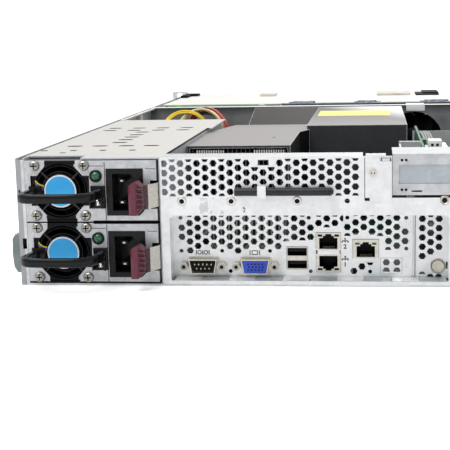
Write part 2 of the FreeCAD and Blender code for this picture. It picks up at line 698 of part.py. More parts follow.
def psu_inlet(level):
    """Mains inlet: moulded body, shrouded cavity and three blades."""
    z = psu_floor(level)
    body = prism_y(inlet_outline(level, 0), REAR - 0.6, REAR + 26)
    x = PSU_X + 65.7
    middle = z + 19.1
    rim = 8.0
    cavity = [(x - rim, middle - 12.0), (x + rim - 4, middle - 12.0), (x + rim, middle - 7.5),
              (x + rim, middle + 7.5), (x + rim - 4, middle + 12.0), (x - rim, middle + 12.0)]
    hollow = prism_y(cavity, REAR - 2, REAR + 17)
    blades = []
    for dx, dz in ((-2.6, 7.0), (2.6, 0.0), (-2.6, -7.0)):
        blades.append(block(x + dx - 2.0, x + dx + 2.0, REAR + 4, REAR + 18, middle + dz - 1.0, middle + dz + 1.0))
    return join(body.cut(hollow), *blades)


def psu_handle(level):
    """Moulded pull loop: bar, two arms and a gusset under each arm."""
    z = psu_floor(level) + 19.0
    x0 = PSU_X + 3.4
    x1 = PSU_X + 52.4
    y0 = REAR - HANDLE_OUT
    half = 2.65
    outer = [(x0, REAR), (x0 - 1.0, y0 + 8), (x0 + 4, y0 + 1.5), (x0 + 10, y0), (x1 - 14, y0),
             (x1 - 6, y0 + 3.0), (x1 - 0.8, y0 + 12), (x1, REAR)]
    inner = [(x1 - 5.5, REAR), (x1 - 6.2, y0 + 13), (x1 - 10, y0 + 7.4), (x1 - 16, y0 + 5.2),
             (x0 + 11, y0 + 5.2), (x0 + 6.4, y0 + 6.8), (x0 + 4.2, y0 + 10), (x0 + 5.5, REAR)]
    loop = prism_z(outer + inner, z - half, z + half)
    gussets = []
    for x, rise in ((x0 + 1.4, 6.5), (x1 - 4.4, 2.5)):
        web = prism_x([(REAR, z + half), (REAR, z + half + rise), (REAR - 9, z + half + rise * 0.6),
                       (REAR - 15, z + half)], x, x + 3.0)
        gussets.append(web)
    pads = [block(x0 - 0.6, x0 + 8, REAR - 2, REAR, z - 5.0, z + 9.4),
            block(x1 - 8.5, x1 + 0.6, REAR - 2, REAR, z - 5.0, z + 9.4)]
    return join(loop, *gussets, *pads)


def psu_latch(level):
    """Spring strip along the bay wall with the moulded release tab on its end."""
    middle = psu_floor(level) + LATCH_UP
    x = PSU_X + PSU_W
    strip = [(x + 0.25, inward(LATCH_L)), (x + 0.75, inward(LATCH_L)), (x + 0.75, REAR - 0.4), (x - 5.6, REAR - 13),
             (x - 6.1, REAR - 12.6), (x + 0.25, REAR - 0.4)]
    spring = prism_z(strip, middle - 7.7, middle + 7.7)
    catch = prism_z([(x + 0.75, inward(7)), (x + 1.1, inward(9)), (x + 0.75, inward(12))], middle - 4, middle + 4)
    root = rod_z(x + 0.5, inward(LATCH_L), 0.45, middle - 9, middle + 9)
    plan = [(x - 14.4, REAR - TAB_OUT + 1.0), (x - 13.0, REAR - TAB_OUT), (x - 9.6, REAR - TAB_OUT + 0.6),
            (x - 6.2, REAR - TAB_OUT + 4.6), (x - 5.0, REAR - 8.6), (x - 6.8, REAR - 7.0), (x - 14.4, REAR - 9.0)]
    tab = prism_z(plan, middle - 10.8, middle + 10.8)
    shape = [(x - 14.4, middle - 10.4), (x - 9.6, middle - 10.4), (x - 6.0, middle - 6.5), (x - 5.0, middle),
             (x - 6.0, middle + 6.5), (x - 9.6, middle + 10.4), (x - 11.4, middle + 10.4),
             (x - 14.4, middle + 8.4)]
    tab = tab.common(prism_y(shape, REAR - TAB_OUT - 1, REAR))
    ribs = []
    for i in range(5):
        z = middle - 6.4 + i * 3.2
        ribs.append(block(x - 9.4, x - 5.4, REAR - TAB_OUT + 0.9, REAR - TAB_OUT + 4.0, z - 0.5, z + 0.5))
    ribs = [rib.common(prism_y(shape, REAR - TAB_OUT - 1, REAR)) for rib in ribs]
    return join(spring, catch, root, tab, *ribs)


def power_backplane():
    """Board at the end of the bays that the supplies plug into."""
    y0 = inward(PSU_L + 12)
    plate = block(PSU_X + 1, PANEL_X - 1.2, y0, y0 + 2, SHEET + 0.2, 80)
    sockets = [block(PSU_X + 16, PSU_X + 72, y0 - 9, y0, psu_floor(level) + 3, psu_floor(level) + 15)
               for level in range(2)]
    slots = [block(PSU_X + 18, PSU_X + 70, y0 - 10, y0 - 2, psu_floor(level) + 5.2, psu_floor(level) + 8.4)
             for level in range(2)]
    plugs = [block(-206, -158, y0 + 2, y0 + 13, 40, 54)]
    return cut(join(plate, *sockets, *plugs), *slots)


def power_board():
    """Upright power distribution board beside the fans."""
    y0 = inward(464.0)
    plate = block(-209, -118.5, y0, y0 + 1.6, 2 * SHEET, 83.3)
    parts = [block(-200 + 24 * i, -186 + 24 * i, y0 - 9, y0, 20, 46) for i in range(3)]
    return join(plate, *parts)


# ---- cables ----------------------------------------------------------------
WIRE_R = 2.6
WIRES = 3
WIRE_SIDES = 6


def tube(points, radius):
    """Bundled lead: straight runs joined by tangent arcs, as large as the runs allow."""
    points = [V(*p) for p in points]
    edges = []
    start = points[0]
    for before, corner, after in zip(points, points[1:], points[2:]):
        one = before - corner
        two = after - corner
        turn = math.pi - one.getAngle(two)
        reach = 0.45 * min(one.Length, two.Length)
        bend = reach / math.tan(turn / 2)
        enter = corner + one.normalize() * reach
        leave = corner + two.normalize() * reach
        inwards = (enter + leave) * 0.5 - corner
        depth = bend / math.cos(turn / 2) - bend
        middle = corner + inwards.normalize() * depth
        edges.append(Part.LineSegment(start, enter).toShape())
        edges.append(Part.Arc(enter, middle, leave).toShape())
        start = leave
    edges.append(Part.LineSegment(start, points[-1]).toShape())
    path = Part.Wire(edges)
    section = [V(x, points[0].y, z) for x, z in circle_points(points[0].x, points[0].z, radius, WIRE_SIDES)]
    return path.makePipeShell([ring_wire(section)], True, False)


def psu_cables():
    """Leads from the power backplane that arch over to the fan wall."""
    leads = []
    y0 = inward(PSU_L + 12) + 13
    wall = inward(FAN_WALL_L)
    for i in range(WIRES):
        shift = i * 13.0
        rise = 2.0 * i
        route = [(-200 + shift, y0, 47), (-200 + shift, y0 + 40, 47), (-199 + shift, y0 + 84, 52 + rise),
                 (-195 + shift, y0 + 122, 63 + rise), (-184 + shift, inward(384), 73 + rise),
                 (-166 + shift * 0.9, inward(402 - 2 * i), 70 + rise), (-152 + shift * 0.75, inward(411 - 2 * i), 52),
                 (-147 + shift * 0.7, inward(422), 34), (-147 + shift * 0.7, wall, 34)]
        leads.append(tube(route, WIRE_R))
    return Part.Compound(leads)


# ---- ports -----------------------------------------------------------------
def d_port(x, male):
    """D-shaped connector: body on the board, shell, insert and two jackscrew nuts."""
    y_plate = inward(RECESS)
    board = BOARD_Z + BOARD_T
    body = block(x - 15.4, x + 15.4, y_plate + THIN + 0.1, y_plate + 14, board, DSUB_Z + 6.2)
    outer = prism_y(d_outline(x, DSUB_Z, 18.6, 9.6), y_plate - 5.8, y_plate + THIN + 0.2)
    hollow = prism_y(d_outline(x, DSUB_Z, 17.4, 8.4), y_plate - 7, y_plate - 0.2)
    insert = prism_y(d_outline(x, DSUB_Z - 0.2, 15.0, 6.4), y_plate - (1.0 if male else 5.4), y_plate + 0.2)
    nuts = []
    for side in (-1, 1):
        cx = x + side * JACK_NUT
        nut = prism_y(circle_points(cx, DSUB_Z, 2.9, 6), y_plate - 6.0, y_plate)
        shank = prism_y(circle_points(cx, DSUB_Z, 1.4, 8), y_plate - 1, y_plate + THIN + 1)
        nuts.append(join(nut, shank))
    return join(body, outer.cut(hollow), insert, *nuts)


def usb_ports():
    y_plate = inward(RECESS)
    shell = block(USB_X - 6.9, USB_X + 6.9, y_plate - 0.5, y_plate + 17, 7.6, 22.7)
    foot = block(USB_X - 6.9, USB_X + 6.9, y_plate + THIN + 0.2, y_plate + 17, BOARD_Z + BOARD_T, 7.6)
    mouths = [block(USB_X - 6.3, USB_X + 6.3, y_plate - 2, y_plate + 11, z, z + 5.1) for z in (8.5, 16.9)]
    return cut(join(shell, foot), *mouths)


def jack_mouth(x, z, up):
    """T-shaped mouth of a network jack, its key slot up or down."""
    sign = 1 if up else -1
    y_plate = inward(RECESS)
    main = block(x - 5.9, x + 5.9, y_plate - 2, y_plate + 13, z - 3.6, z + 3.6)
    step = block(x - 3.6, x + 3.6, y_plate - 2, y_plate + 13, min(z, z + sign * 5.0), max(z, z + sign * 5.0))
    key = block(x - 2.0, x + 2.0, y_plate - 2, y_plate + 13, min(z, z + sign * 6.2), max(z, z + sign * 6.2))
    return join(main, step, key)


def lan_jacks():
    """Two stacked network jacks and one single jack beside them."""
    y_plate = inward(RECESS)
    board = BOARD_Z + BOARD_T
    stack = block(LAN_X - 8.0, LAN_X + 8.0, y_plate - 0.8, y_plate + 21, 5.8, 32.0)
    stack_foot = block(LAN_X - 8.0, LAN_X + 8.0, y_plate + THIN + 0.2, y_plate + 21, board, 5.8)
    single = block(MGMT_X - 8.3, MGMT_X + 8.3, y_plate - 0.8, y_plate + 21, 14.8, 27.6)
    single_foot = block(MGMT_X - 8.3, MGMT_X + 8.3, y_plate + THIN + 0.2, y_plate + 21, board, 14.8)
    pair = cut(join(stack, stack_foot), jack_mouth(LAN_X, 25.0, True), jack_mouth(LAN_X, 13.2, False))
    lone = cut(join(single, single_foot), jack_mouth(MGMT_X, 19.7, True))
    return Part.Compound([pair, lone])


def rear_uid_button():
    """Round identification push button, lens and stem in one piece."""
    y_plate = inward(RECESS)
    lens = prism_y(circle_points(UID_X, UID_Z, UID_R, 20), y_plate - 2.6, y_plate + 4)
    crown = prism_y(circle_points(UID_X, UID_Z, UID_R - 0.9, 20), y_plate - 3.2, y_plate - 2.6)
    return join(lens, crown, prism_y(circle_points(UID_X, UID_Z, 1.6, 8), y_plate + 4, y_plate + 9))


def uid_switch():
    y_plate = inward(RECESS)
    body = block(UID_X - 4.5, UID_X + 4.5, y_plate + 11, y_plate + 20, BOARD_Z + BOARD_T, UID_Z + 5)
    return cut(body, prism_y(circle_points(UID_X, UID_Z, 2.0, 12), y_plate + 10, y_plate + 14))


# ---- riser -----------------------------------------------------------------
def riser_bracket():
    """Bent bracket beside the riser, held by one screw."""
    y0 = REAR - THIN
    plate = block(BRACKET_X0, BRACKET_X1, y0, REAR, 55.2, 83.4)
    rib = block(11.6, BRACKET_X1, y0 - 2.4, y0, 56.6, 80.4)
    tab = block(2.2, 14.6, y0, REAR + 9, 83.4, 84.2)
    shape = join(plate, rib, tab)
    marks = [prism_z(circle_points(x, REAR + 4, 0.75, 8), 83, 85) for x in (6.2, 11.2)]
    corner = block(11.0, 20.0, y0 - 3, REAR + 0.01, 80.4, 83.3)
    return cut(shape, corner, prism_y(circle_points(6.7, 73.1, 1.6, 12), y0 - 1, REAR + 1), *marks)


def panel_screws():
    """Pan-head screw of the riser bracket."""
    head = prism_y(circle_points(6.7, 73.1, 2.55, 16), REAR - THIN - 1.8, REAR - THIN)
    shank = prism_y(circle_points(6.7, 73.1, 1.4, 8), REAR - THIN, REAR)
    screw = join(head, shank)
    slot = [block(6.7 - 1.6, 6.7 + 1.6, REAR - 4, REAR - THIN - 1, 73.1 - 0.35, 73.1 + 0.35),
            block(6.7 - 0.35, 6.7 + 0.35, REAR - 4, REAR - THIN - 1, 73.1 - 1.6, 73.1 + 1.6)]
    return cut(screw, *slot)


def riser_cage():
    """Sheet cage of the card riser: face, folded top, side wall and rear leg."""
    low = RISER_Z0
    y0 = REAR
    slot = rectangle(22.6, 22.6 + SLOT_W, SLOT_UP_Z, SLOT_UP_Z + SLOT_H)
    marks = [rectangle(30.6, 37.2, 60.6, 61.8)]
    face = sheet_y(rectangle(RISER_X0, RISER_X1, low, RISER_TOP), [slot] + marks, y0, y0 + 1)
    top = block(RISER_X0, RISER_X1, y0, y0 + RISER_FLANGE, RISER_TOP - 1, RISER_TOP)
    side = block(RISER_X1 - 1, RISER_X1, y0, inward(RISER_L), low, RISER_TOP)
    far = block(38.0, RISER_X1, inward(RISER_L) - 1, inward(RISER_L), 24, RISER_TOP - 6)
    legs = [block(x, x + 1, inward(RISER_L) - 18, inward(RISER_L), BOARD_Z + BOARD_T, 40)
            for x in (RISER_X1 - 1, 38.0)]
    leg_web = block(RISER_X1 - 1, RISER_X1, inward(RISER_L) - 18, inward(RISER_L), 40, low)
    handle = join(block(24.0, 38.8, inward(62), inward(66), RISER_TOP - 6, RISER_TOP + 1.2),
                  block(24.0, 25.2, inward(RISER_FLANGE - 1), inward(66), RISER_TOP - 4, RISER_TOP))
    return join(face, top, side, far, *legs, leg_web, handle)


def slot_blanks():
    """Filler plates behind the three card slots."""
    blanks = []
    places = [(22.6, SLOT_UP_Z, REAR + 1)] + [(SLOT_X0, z, REAR + SHEET) for z in SLOT_LOW_Z]
    for x, z, y in places:
        plate = block(x - 3, x + SLOT_W + 3, y, y + 0.9, z - 1.6, z + SLOT_H + 1.6)
        lip = block(x + SLOT_W - 3, x + SLOT_W + 3, y, y + 12, z - 1.6, z - 0.7)
        bead = block(x + 4, x + SLOT_W - 4, y + 0.9, y + 1.7, z + SLOT_H / 2 - 1, z + SLOT_H / 2 + 1)
        blanks.append(join(plate, lip, bead))
    return Part.Compound(blanks)


def riser_board():
    """Upright riser card with two card sockets and an edge plug."""
    x = 39.2
    y0 = inward(52)
    y1 = inward(RISER_L - 8)
    plate = block(x, x + 1.6, y0, y1, 12, RISER_TOP - 1.2)
    plug = block(x - 3, x + 4.6, y0 + 30, y1 - 20, BOARD_Z + BOARD_T, 13)
    sockets = [block(x + 1.6, x + 12.6, y0 + 12, y0 + 104, z, z + 7.6) for z in (42, 66)]
    clip = block(x + 1.6, x + 9, inward(96), inward(106), RISER_TOP - 9, RISER_TOP - 1.2)
    return join(plate, plug, *sockets, clip)


def stored_key():
    """Round key kept in the clip, with a tapered tip at one end."""
    y = REAR - KEY_R - SEAT_GAP
    rod = prism_x(circle_points(y, KEY_Z, KEY_R, 24), KEY_X0, KEY_X1 - 1.2)
    return join(rod, prism_x(circle_points(y, KEY_Z, KEY_R - 0.9, 24), KEY_X1 - 1.2, KEY_X1))


# ---- drive bays ------------------------------------------------------------
def bay_x(column):
    return (column - BAY_COLS / 2 + 0.5) * BAY_W


def bay_z(row):
    return SHEET + 1.4 + row * BAY_H


def drive_cage():
    width = BAY_COLS * BAY_W / 2 + 1.0
    top_z = WALL_H
    roof = block(-width, width, CAGE_Y0, FRONT - 2, top_z - 1, top_z)
    sides = [block(x - 0.5, x + 0.5, CAGE_Y0, FRONT - 2, SHEET, top_z)
             for x in [(i - BAY_COLS / 2) * BAY_W for i in range(BAY_COLS + 1)]]
    ledges = []
    for column in range(BAY_COLS):
        for row in range(BAY_ROWS):
            z = bay_z(row) - 0.3
            for side in (-1, 1):
                edge = bay_x(column) + side * BAY_W / 2
                x0, x1 = sorted((edge, edge - side * 4.0))
                ledges.append(block(x0, x1, CAGE_Y0, FRONT - 16, z - 0.7, z))
    cage = join(roof, *sides, *ledges)
    holes = [block(-14, 14, CAGE_Y0 + 8, CAGE_Y0 + 24, top_z - 2, top_z + 1)]
    return cut(cage, *holes)


def drive_backplane():
    y0 = CAGE_Y0 - 2.2
    plate = block(-INNER + 4, INNER - 4, y0, y0 + 2, 2 * SHEET + 0.2, WALL_H - 2.5)
    vents = []
    for column in range(BAY_COLS):
        for row in range(BAY_ROWS):
            z = bay_z(row) + 15
            vents.append(block(bay_x(column) - 42, bay_x(column) + 10, y0 - 1, y0 + 3, z, z + 7))
    sockets = [block(bay_x(column) - 22, bay_x(column) + 22, y0 + 2, y0 + 6.2, bay_z(row) + 3, bay_z(row) + 8)
               for column in range(BAY_COLS) for row in range(BAY_ROWS)]
    return join(cut(plate, *vents), *sockets)


def carrier(column):
    """Drive carrier: side rails, bezel frame and the drive between them."""
    x = bay_x(column)
    z = bay_z(0)
    half = CARRIER_W / 2
    y1 = FRONT + BEZEL_OUT
    bezel = block(x - half, x + half, y1 - 10, y1, z, z + CARRIER_H)
    window = block(x - half + 12, x + half - 3, y1 - 8.5, y1 + 1, z + 3, z + CARRIER_H - 3)
    rails = [block(x - half + 0.4, x - DRIVE_W / 2, y1 - 180, y1 - 10, z + 0.4, z + 12),
             block(x + DRIVE_W / 2, x + half - 0.4, y1 - 180, y1 - 10, z + 0.4, z + 12)]
    drive = block(x - DRIVE_W / 2, x + DRIVE_W / 2, y1 - 182, y1 - 182 + DRIVE_L, z + 1.5, z + 1.5 + DRIVE_H)
    vents = []
    for i in range(3):
        vx = x - half + 26 + i * 23
        vents.append(block(vx, vx + 19, y1 - 11, y1 - 7, z + 9, z + CARRIER_H - 5))
    pivot = rod_z(x + half - 7, y1 - 5, 1.5, z + 2.4, z + CARRIER_H - 2.4)
    body = cut(join(bezel, *rails, drive), window, *vents)
    return join(body, pivot)


def lever(column):
    """Ejector lever of a carrier, hinged at its right end."""
    x = bay_x(column)
    z = bay_z(0)
    half = CARRIER_W / 2
    y1 = FRONT + BEZEL_OUT
    x0 = x - half + 14
    x1 = x + half - 7.6
    arm = block(x0, x1, y1 - 4.4, y1 - 0.4, z + 3.6, z + 8.4)
    upright = block(x0, x0 + 9, y1 - 4.4, y1 - 0.4, z + 3.6, z + CARRIER_H - 3.6)
    eye = prism_z(circle_points(x + half - 7, y1 - 5, 2.8, 12), z + 3.6, z + 8.4)
    hole = rod_z(x + half - 7, y1 - 5, 1.56, z, z + CARRIER_H)
    grip = block(x0 + 2, x0 + 7, y1 - 0.8, y1, z + 10.4, z + 16.4)
    return cut(join(arm, upright, eye), hole, grip)


def drive_blanks():
    """Snap-in fillers of the empty bays."""
    blanks = []
    y1 = FRONT + BEZEL_OUT
    for column in range(BAY_COLS):
        for row in range(1, BAY_ROWS):
            x = bay_x(column)
            z = bay_z(row)
            half = CARRIER_W / 2
            face = block(x - half, x + half, y1 - 10, y1, z, z + CARRIER_H)
            vents = [block(x - half + 8 + i * 46, x - half + 51 + i * 46, y1 - 11, y1 + 1, z + 6, z + CARRIER_H - 6)
                     for i in range(2)]
            tongues = [block(x + s * (half - 2) - 1, x + s * (half - 2) + 1, y1 - 60, y1 - 10, z, z + 12)
                       for s in (-1, 1)]
            blanks.append(join(cut(face, *vents), *tongues))
    return Part.Compound(blanks)


# ---- front controls --------------------------------------------------------
CONTROL_X = (HALF_W + EAR_SPAN / 2) / 2
POWER_Z = 58.0
FRONT_UID_Z = 42.0


def control_module():
    """Moulded housing of the buttons on the right ear."""
    y0 = FRONT
    x0 = HALF_W + 1.0
    x1 = EAR_SPAN / 2 - 1.0
    body = prism_y([(x0 + 2, 14), (x1 - 2, 14), (x1, 16), (x1, 72), (x1 - 2, 74), (x0 + 2, 74), (x0, 72), (x0, 16)],
                   y0, y0 + 11)
    wells = [prism_y(circle_points(CONTROL_X, z, radius, 20), y0 + 3, y0 + 12)
             for z, radius in ((POWER_Z, 5.0), (FRONT_UID_Z, 3.8))]
    lamps = [block(CONTROL_X - 2.5, CONTROL_X + 2.5, y0 + 10, y0 + 12, z, z + 2) for z in (20, 25, 30)]
    return cut(body, *wells, *lamps)


def push_button(z, radius):
    cap = prism_y(circle_points(CONTROL_X, z, radius, 16), FRONT + 5.5, FRONT + 11.0)
    crown = prism_y(circle_points(CONTROL_X, z, radius - 0.7, 16), FRONT + 11.0, FRONT + 11.6)
    return join(cap, crown)


# ---- build -----------------------------------------------------------------
def build():
    os.makedirs("parts", exist_ok=True)
    write("base_tray", base_tray())
    write("rear_panel", rear_panel())
    write("io_plate", io_plate())
    write("psu_cage", psu_cage())
    write("rack_ears", rack_ears())
    write("rail_bumper", rail_bumper())
    write("motherboard", motherboard())
    write("cpu_heatsinks", cpu_heatsinks())
    write("dimm_modules", dimm_modules())
    write("air_baffle", air_baffle())
    write("fan_wall", fan_wall())
    write("fan_frames", fan_frames())
    write("power_backplane", power_backplane())
    write("power_board", power_board())
    write("psu_cables", psu_cables())
    write("serial_port", d_port(SERIAL_X, True))
    write("vga_port", d_port(VGA_X, False))
    write("usb_ports", usb_ports())
    write("lan_jacks", lan_jacks())
    write("uid_switch", uid_switch())
    write("rear_uid_button", rear_uid_button())
    write("riser_bracket", riser_bracket())
    write("panel_screws", panel_screws())
    write("riser_cage", riser_cage())
    write("slot_blanks", slot_blanks())
    write("riser_board", riser_board())
    write("stored_key", stored_key())
    write("drive_cage", drive_cage())
    write("drive_backplane", drive_backplane())
    write("drive_blanks", drive_blanks())
    write("control_module", control_module())
    write("power_button", push_button(POWER_Z, 4.6))
    write("front_uid_button", push_button(FRONT_UID_Z, 3.4))
    for level, word in enumerate(("lower", "upper")):
        name = "psu_" + word + "_"
        write(name + "case", psu_case(level))
        write(name + "fan_frame", psu_fan_frame(level))
        write(name + "rotor", psu_rotor(level))
        write(name + "screws", psu_screws(level))
        write(name + "inlet", psu_inlet(level))
        write(name + "handle", psu_handle(level))
        write(name + "latch", psu_latch(level))
    for index in range(SYS_FANS):
        write("fan_rotor_%d" % (index + 1), system_rotor(index))
    for column in range(BAY_COLS):
        write("drive_carrier_%d" % (column + 1), carrier(column))
        write("drive_lever_%d" % (column + 1), lever(column))


build()
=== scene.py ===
"""Looks of the two-unit rack server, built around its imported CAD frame.

The frame is in metres with +Z up, and the rear faces -Y. Every place and size written below is in
millimetres, and the middle number of a place is its depth inward from the rear face.
"""
from math import copysign, cos, pi, radians, sin

import bmesh
import bpy
from mathutils import Matrix, Vector

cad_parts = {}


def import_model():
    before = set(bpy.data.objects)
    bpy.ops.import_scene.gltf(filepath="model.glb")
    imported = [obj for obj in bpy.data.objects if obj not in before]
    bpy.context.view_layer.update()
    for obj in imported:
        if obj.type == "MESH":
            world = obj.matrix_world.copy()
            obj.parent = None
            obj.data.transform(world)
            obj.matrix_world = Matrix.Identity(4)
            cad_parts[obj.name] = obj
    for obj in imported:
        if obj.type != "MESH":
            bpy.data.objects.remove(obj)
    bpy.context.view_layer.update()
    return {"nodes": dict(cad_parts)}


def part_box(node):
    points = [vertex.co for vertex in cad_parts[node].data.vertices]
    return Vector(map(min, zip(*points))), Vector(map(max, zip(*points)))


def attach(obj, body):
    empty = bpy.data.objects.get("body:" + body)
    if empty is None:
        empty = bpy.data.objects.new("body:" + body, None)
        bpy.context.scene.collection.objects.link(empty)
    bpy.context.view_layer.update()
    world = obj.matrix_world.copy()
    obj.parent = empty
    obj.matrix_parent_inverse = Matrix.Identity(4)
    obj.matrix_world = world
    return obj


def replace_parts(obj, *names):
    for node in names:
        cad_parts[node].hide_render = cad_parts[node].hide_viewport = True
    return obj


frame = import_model()
MM = 0.001
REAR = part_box("base_tray")[0].y
SUPPLIES = ("psu_lower", "psu_upper")
BACK, UP, INWARD, ACROSS = (0, -1, 0), (0, 0, 1), (0, 1, 0), (1, 0, 0)


def spot(place):
    """A place in millimetres as a point of the frame."""
    return Vector((place[0] * MM, REAR + place[1] * MM, place[2] * MM))


def extent(node):
    """Low and high corner of a node's box, in millimetres."""
    return [Vector((corner.x, corner.y - REAR, corner.z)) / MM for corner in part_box(node)]


def middle(low, high, depth):
    """Centre of a box across and up, at a depth."""
    return Vector(((low.x + high.x) / 2, depth, (low.z + high.z) / 2))


def metres(axis, value):
    return value * MM + (REAR if axis == "y" else 0)


def turns(count, shift=0):
    """Evenly spaced angles of a full turn."""
    return [2 * pi * (i + shift) / count for i in range(count)]


# ---- places read from the frame ----
WALL_TOP = extent("base_tray")[1].z
PLATE = extent("io_plate")[1].y - 0.8  # rear face of the recessed port plate
CAGE = extent("psu_cage")
DUCT_TOP = extent("air_baffle")[1].z
FAR_OUT = -1000  # a depth behind everything
SKIN = (FAR_OUT, 2)  # depths of the rear face and what stands out of it


# ---- material helpers ----
class Nodes:
    """A node tree under construction."""

    def __init__(self, owner):
        owner.use_nodes = True
        self.tree = owner.node_tree
        self.tree.nodes.clear()

    def put(self, value, socket):
        if isinstance(value, bpy.types.NodeSocket):
            self.tree.links.new(value, socket)
        elif socket.type == "RGBA" and len(value) == 3:
            socket.default_value = (*value, 1)
        else:
            socket.default_value = value

    def node(self, kind, inputs=(), **settings):
        """New node; its inputs are given in order, or by name or number in a dictionary."""
        made = self.tree.nodes.new("ShaderNode" + kind)
        for key, value in settings.items():
            setattr(made, key, value)
        for key, value in inputs.items() if isinstance(inputs, dict) else enumerate(inputs):
            self.put(value, made.inputs[key])
        return made

    def out(self, kind, inputs=(), output=0, **settings):
        return self.node(kind, inputs, **settings).outputs[output]

    def math(self, kind, first, second=0):
        return self.out("Math", (first, second), operation=kind)

    def times(self, first, second):
        return self.math("MULTIPLY", first, second)

    def plus(self, first, second):
        return self.math("ADD", first, second)

    def most(self, first, second):
        return self.math("MAXIMUM", first, second)

    def sine(self, value):
        return self.math("SINE", value)

    def remap(self, value, low, high, to_low=0, to_high=1):
        return self.out("MapRange", (value, low, high, to_low, to_high))


class Paint(Nodes):
    """A principled material; its methods add nodes and return their outputs."""

    def __init__(self, name):
        self.material = bpy.data.materials.new(name)
        super().__init__(self.material)
        self.shader = self.node("BsdfPrincipled")
        self.node("OutputMaterial", (self.shader.outputs[0],))
        self.place = self.out("TexCoord", output="Object")
        self.axes = None

    def set(self, **values):
        for key, value in values.items():
            self.put(value, self.shader.inputs[key.replace("_", " ")])

    def noise(self, scale, detail=3, stretch=None):
        place = self.out("Mapping", {"Vector": self.place, "Scale": stretch}) if stretch else self.place
        return self.out("TexNoise", {"Vector": place, "Scale": scale, "Detail": detail, "Roughness": 0.55})

    def cells(self, scale):
        return self.out("SeparateColor", (self.out("TexVoronoi", {"Vector": self.place, "Scale": scale}, "Color"),))

    def mix(self, share, first, second):
        return self.out("Mix", {0: share, 6: first, 7: second}, 2, data_type="RGBA")

    def axis(self, name):
        if self.axes is None:
            self.axes = dict(zip("xyz", self.node("SeparateXYZ", (self.place,)).outputs))
        return self.axes[name]

    def past(self, name, limit):
        """1 where a place is past a limit on an axis."""
        return self.math("GREATER_THAN", self.axis(name), metres(name, limit))

    def short(self, name, limit):
        """1 where a place is short of a limit on an axis."""
        return self.math("LESS_THAN", self.axis(name), metres(name, limit))

    def along(self, name, low, high, to_low=0, to_high=1):
        """Ramp between two places on an axis."""
        return self.remap(self.axis(name), metres(name, low), metres(name, high), to_low, to_high)

    def inside(self, **ranges):
        """1 inside a box given as x=(low, high) and so on."""
        result = None
        for name, (low, high) in ranges.items():
            both = self.times(self.past(name, low), self.short(name, high))
            result = both if result is None else self.times(result, both)
        return result

    def edges(self, radius=0.5):
        """Bright along sharp edges: a painted highlight, and wear where handling rubs the surface."""
        bevel = self.out("Bevel", {"Radius": radius * MM}, samples=4)
        face = self.out("NewGeometry", output="Normal")
        dot = self.out("VectorMath", (bevel, face), "Value", operation="DOT_PRODUCT")
        return self.remap(dot, 0.99, 0.8)

    def facing(self, name, low=0.6, high=0.8):
        """1 where the surface looks along an axis, 0 elsewhere."""
        normal = self.out("NewGeometry", output="True Normal")
        return self.remap(self.out("SeparateXYZ", (normal,), "xyz".index(name)), low, high)

    def bump(self, height, strength, distance):
        self.set(Normal=self.out("Bump", {"Strength": strength, "Distance": distance * MM, "Height": height}))
        return self.material

    def finish(self, colour, texture, smooth, rough, strength, distance, **values):
        """Set the colour; the texture gives the range of roughness and the relief."""
        self.set(Base_Color=colour, Roughness=self.remap(texture, 0.3, 0.7, smooth, rough), **values)
        return self.bump(texture, strength, distance)


def brighter(colour, factor, lift=0):
    return tuple(min(1, part * factor + lift) for part in colour)


def sheet_metal(name, pale, dark, rough=0.42, metallic=0.8, scale=260, extra=None):
    """Galvanised sheet: small spangle, soft cloudy tone, fine scratches and bright edges, which are a painted
    highlight and wear.
    """
    p = Paint(name)
    clouds = p.noise(scale * 0.35, 6)
    grain = p.noise(scale * 11, 2)
    tone = p.plus(p.times(clouds, 0.66), p.times(p.cells(scale * 1.6), 0.12))
    tone = p.plus(tone, p.times(grain, 0.24))
    colour = p.mix(p.remap(tone, 0.22, 0.68), dark, pale)
    scratch = p.remap(p.noise(scale * 2.4, 4, (0.06, 1, 1)), 0.66, 0.72)
    colour = p.mix(p.times(scratch, 0.25), colour, brighter(pale, 1.25))
    # painted highlight and wear along the edges
    colour = p.mix(p.times(p.edges(), 0.6), colour, (0.96, 0.97, 0.98))
    if extra:
        colour = extra(p, colour)
    rise = p.plus(p.times(grain, 0.5), p.times(clouds, 0.5))
    p.set(Base_Color=colour, Metallic=metallic, Roughness=p.remap(tone, 0.3, 0.75, rough + 0.1, rough - 0.06))
    return p.bump(rise, 0.25, 0.15)


def plastic(name, colour, rough=0.45, gleam=0.5, edge_wear_and_highlight=0.5, lift=0.5, grain=1800, coat=0):
    """Moulded plastic: fine texture, dusty tone and slightly lighter edges, a painted highlight and wear."""
    p = Paint(name)
    fine = p.noise(grain, 2)
    dust = p.remap(p.noise(70, 4), 0.35, 0.7, 0, 0.6)
    tint = p.mix(dust, colour, brighter(colour, 1 + lift, 0.004))
    # painted highlight and wear along the edges
    tint = p.mix(p.times(p.edges(0.35), edge_wear_and_highlight), tint, brighter(colour, 2.2, 0.06))
    return p.finish(tint, fine, rough - 0.05, rough + 0.08, 0.22, 0.12, Coat_Weight=coat, Specular_IOR_Level=gleam)


def bright_metal(name, colour, rough=0.2, metallic=1):
    """Plated metal with fine marks, tarnish in patches, and a painted highlight with wear on its edges."""
    p = Paint(name)
    marks = p.noise(900, 4)
    tarnish = p.remap(p.noise(140, 5), 0.45, 0.75, 0, 0.7)
    shade = p.mix(tarnish, colour, brighter(colour, 0.55))
    # painted highlight and wear along the edges
    shade = p.mix(p.times(p.edges(0.25), 0.5), shade, (0.98, 0.97, 0.95))
    return p.finish(shade, marks, rough, rough + 0.18, 0.12, 0.08, Metallic=metallic)


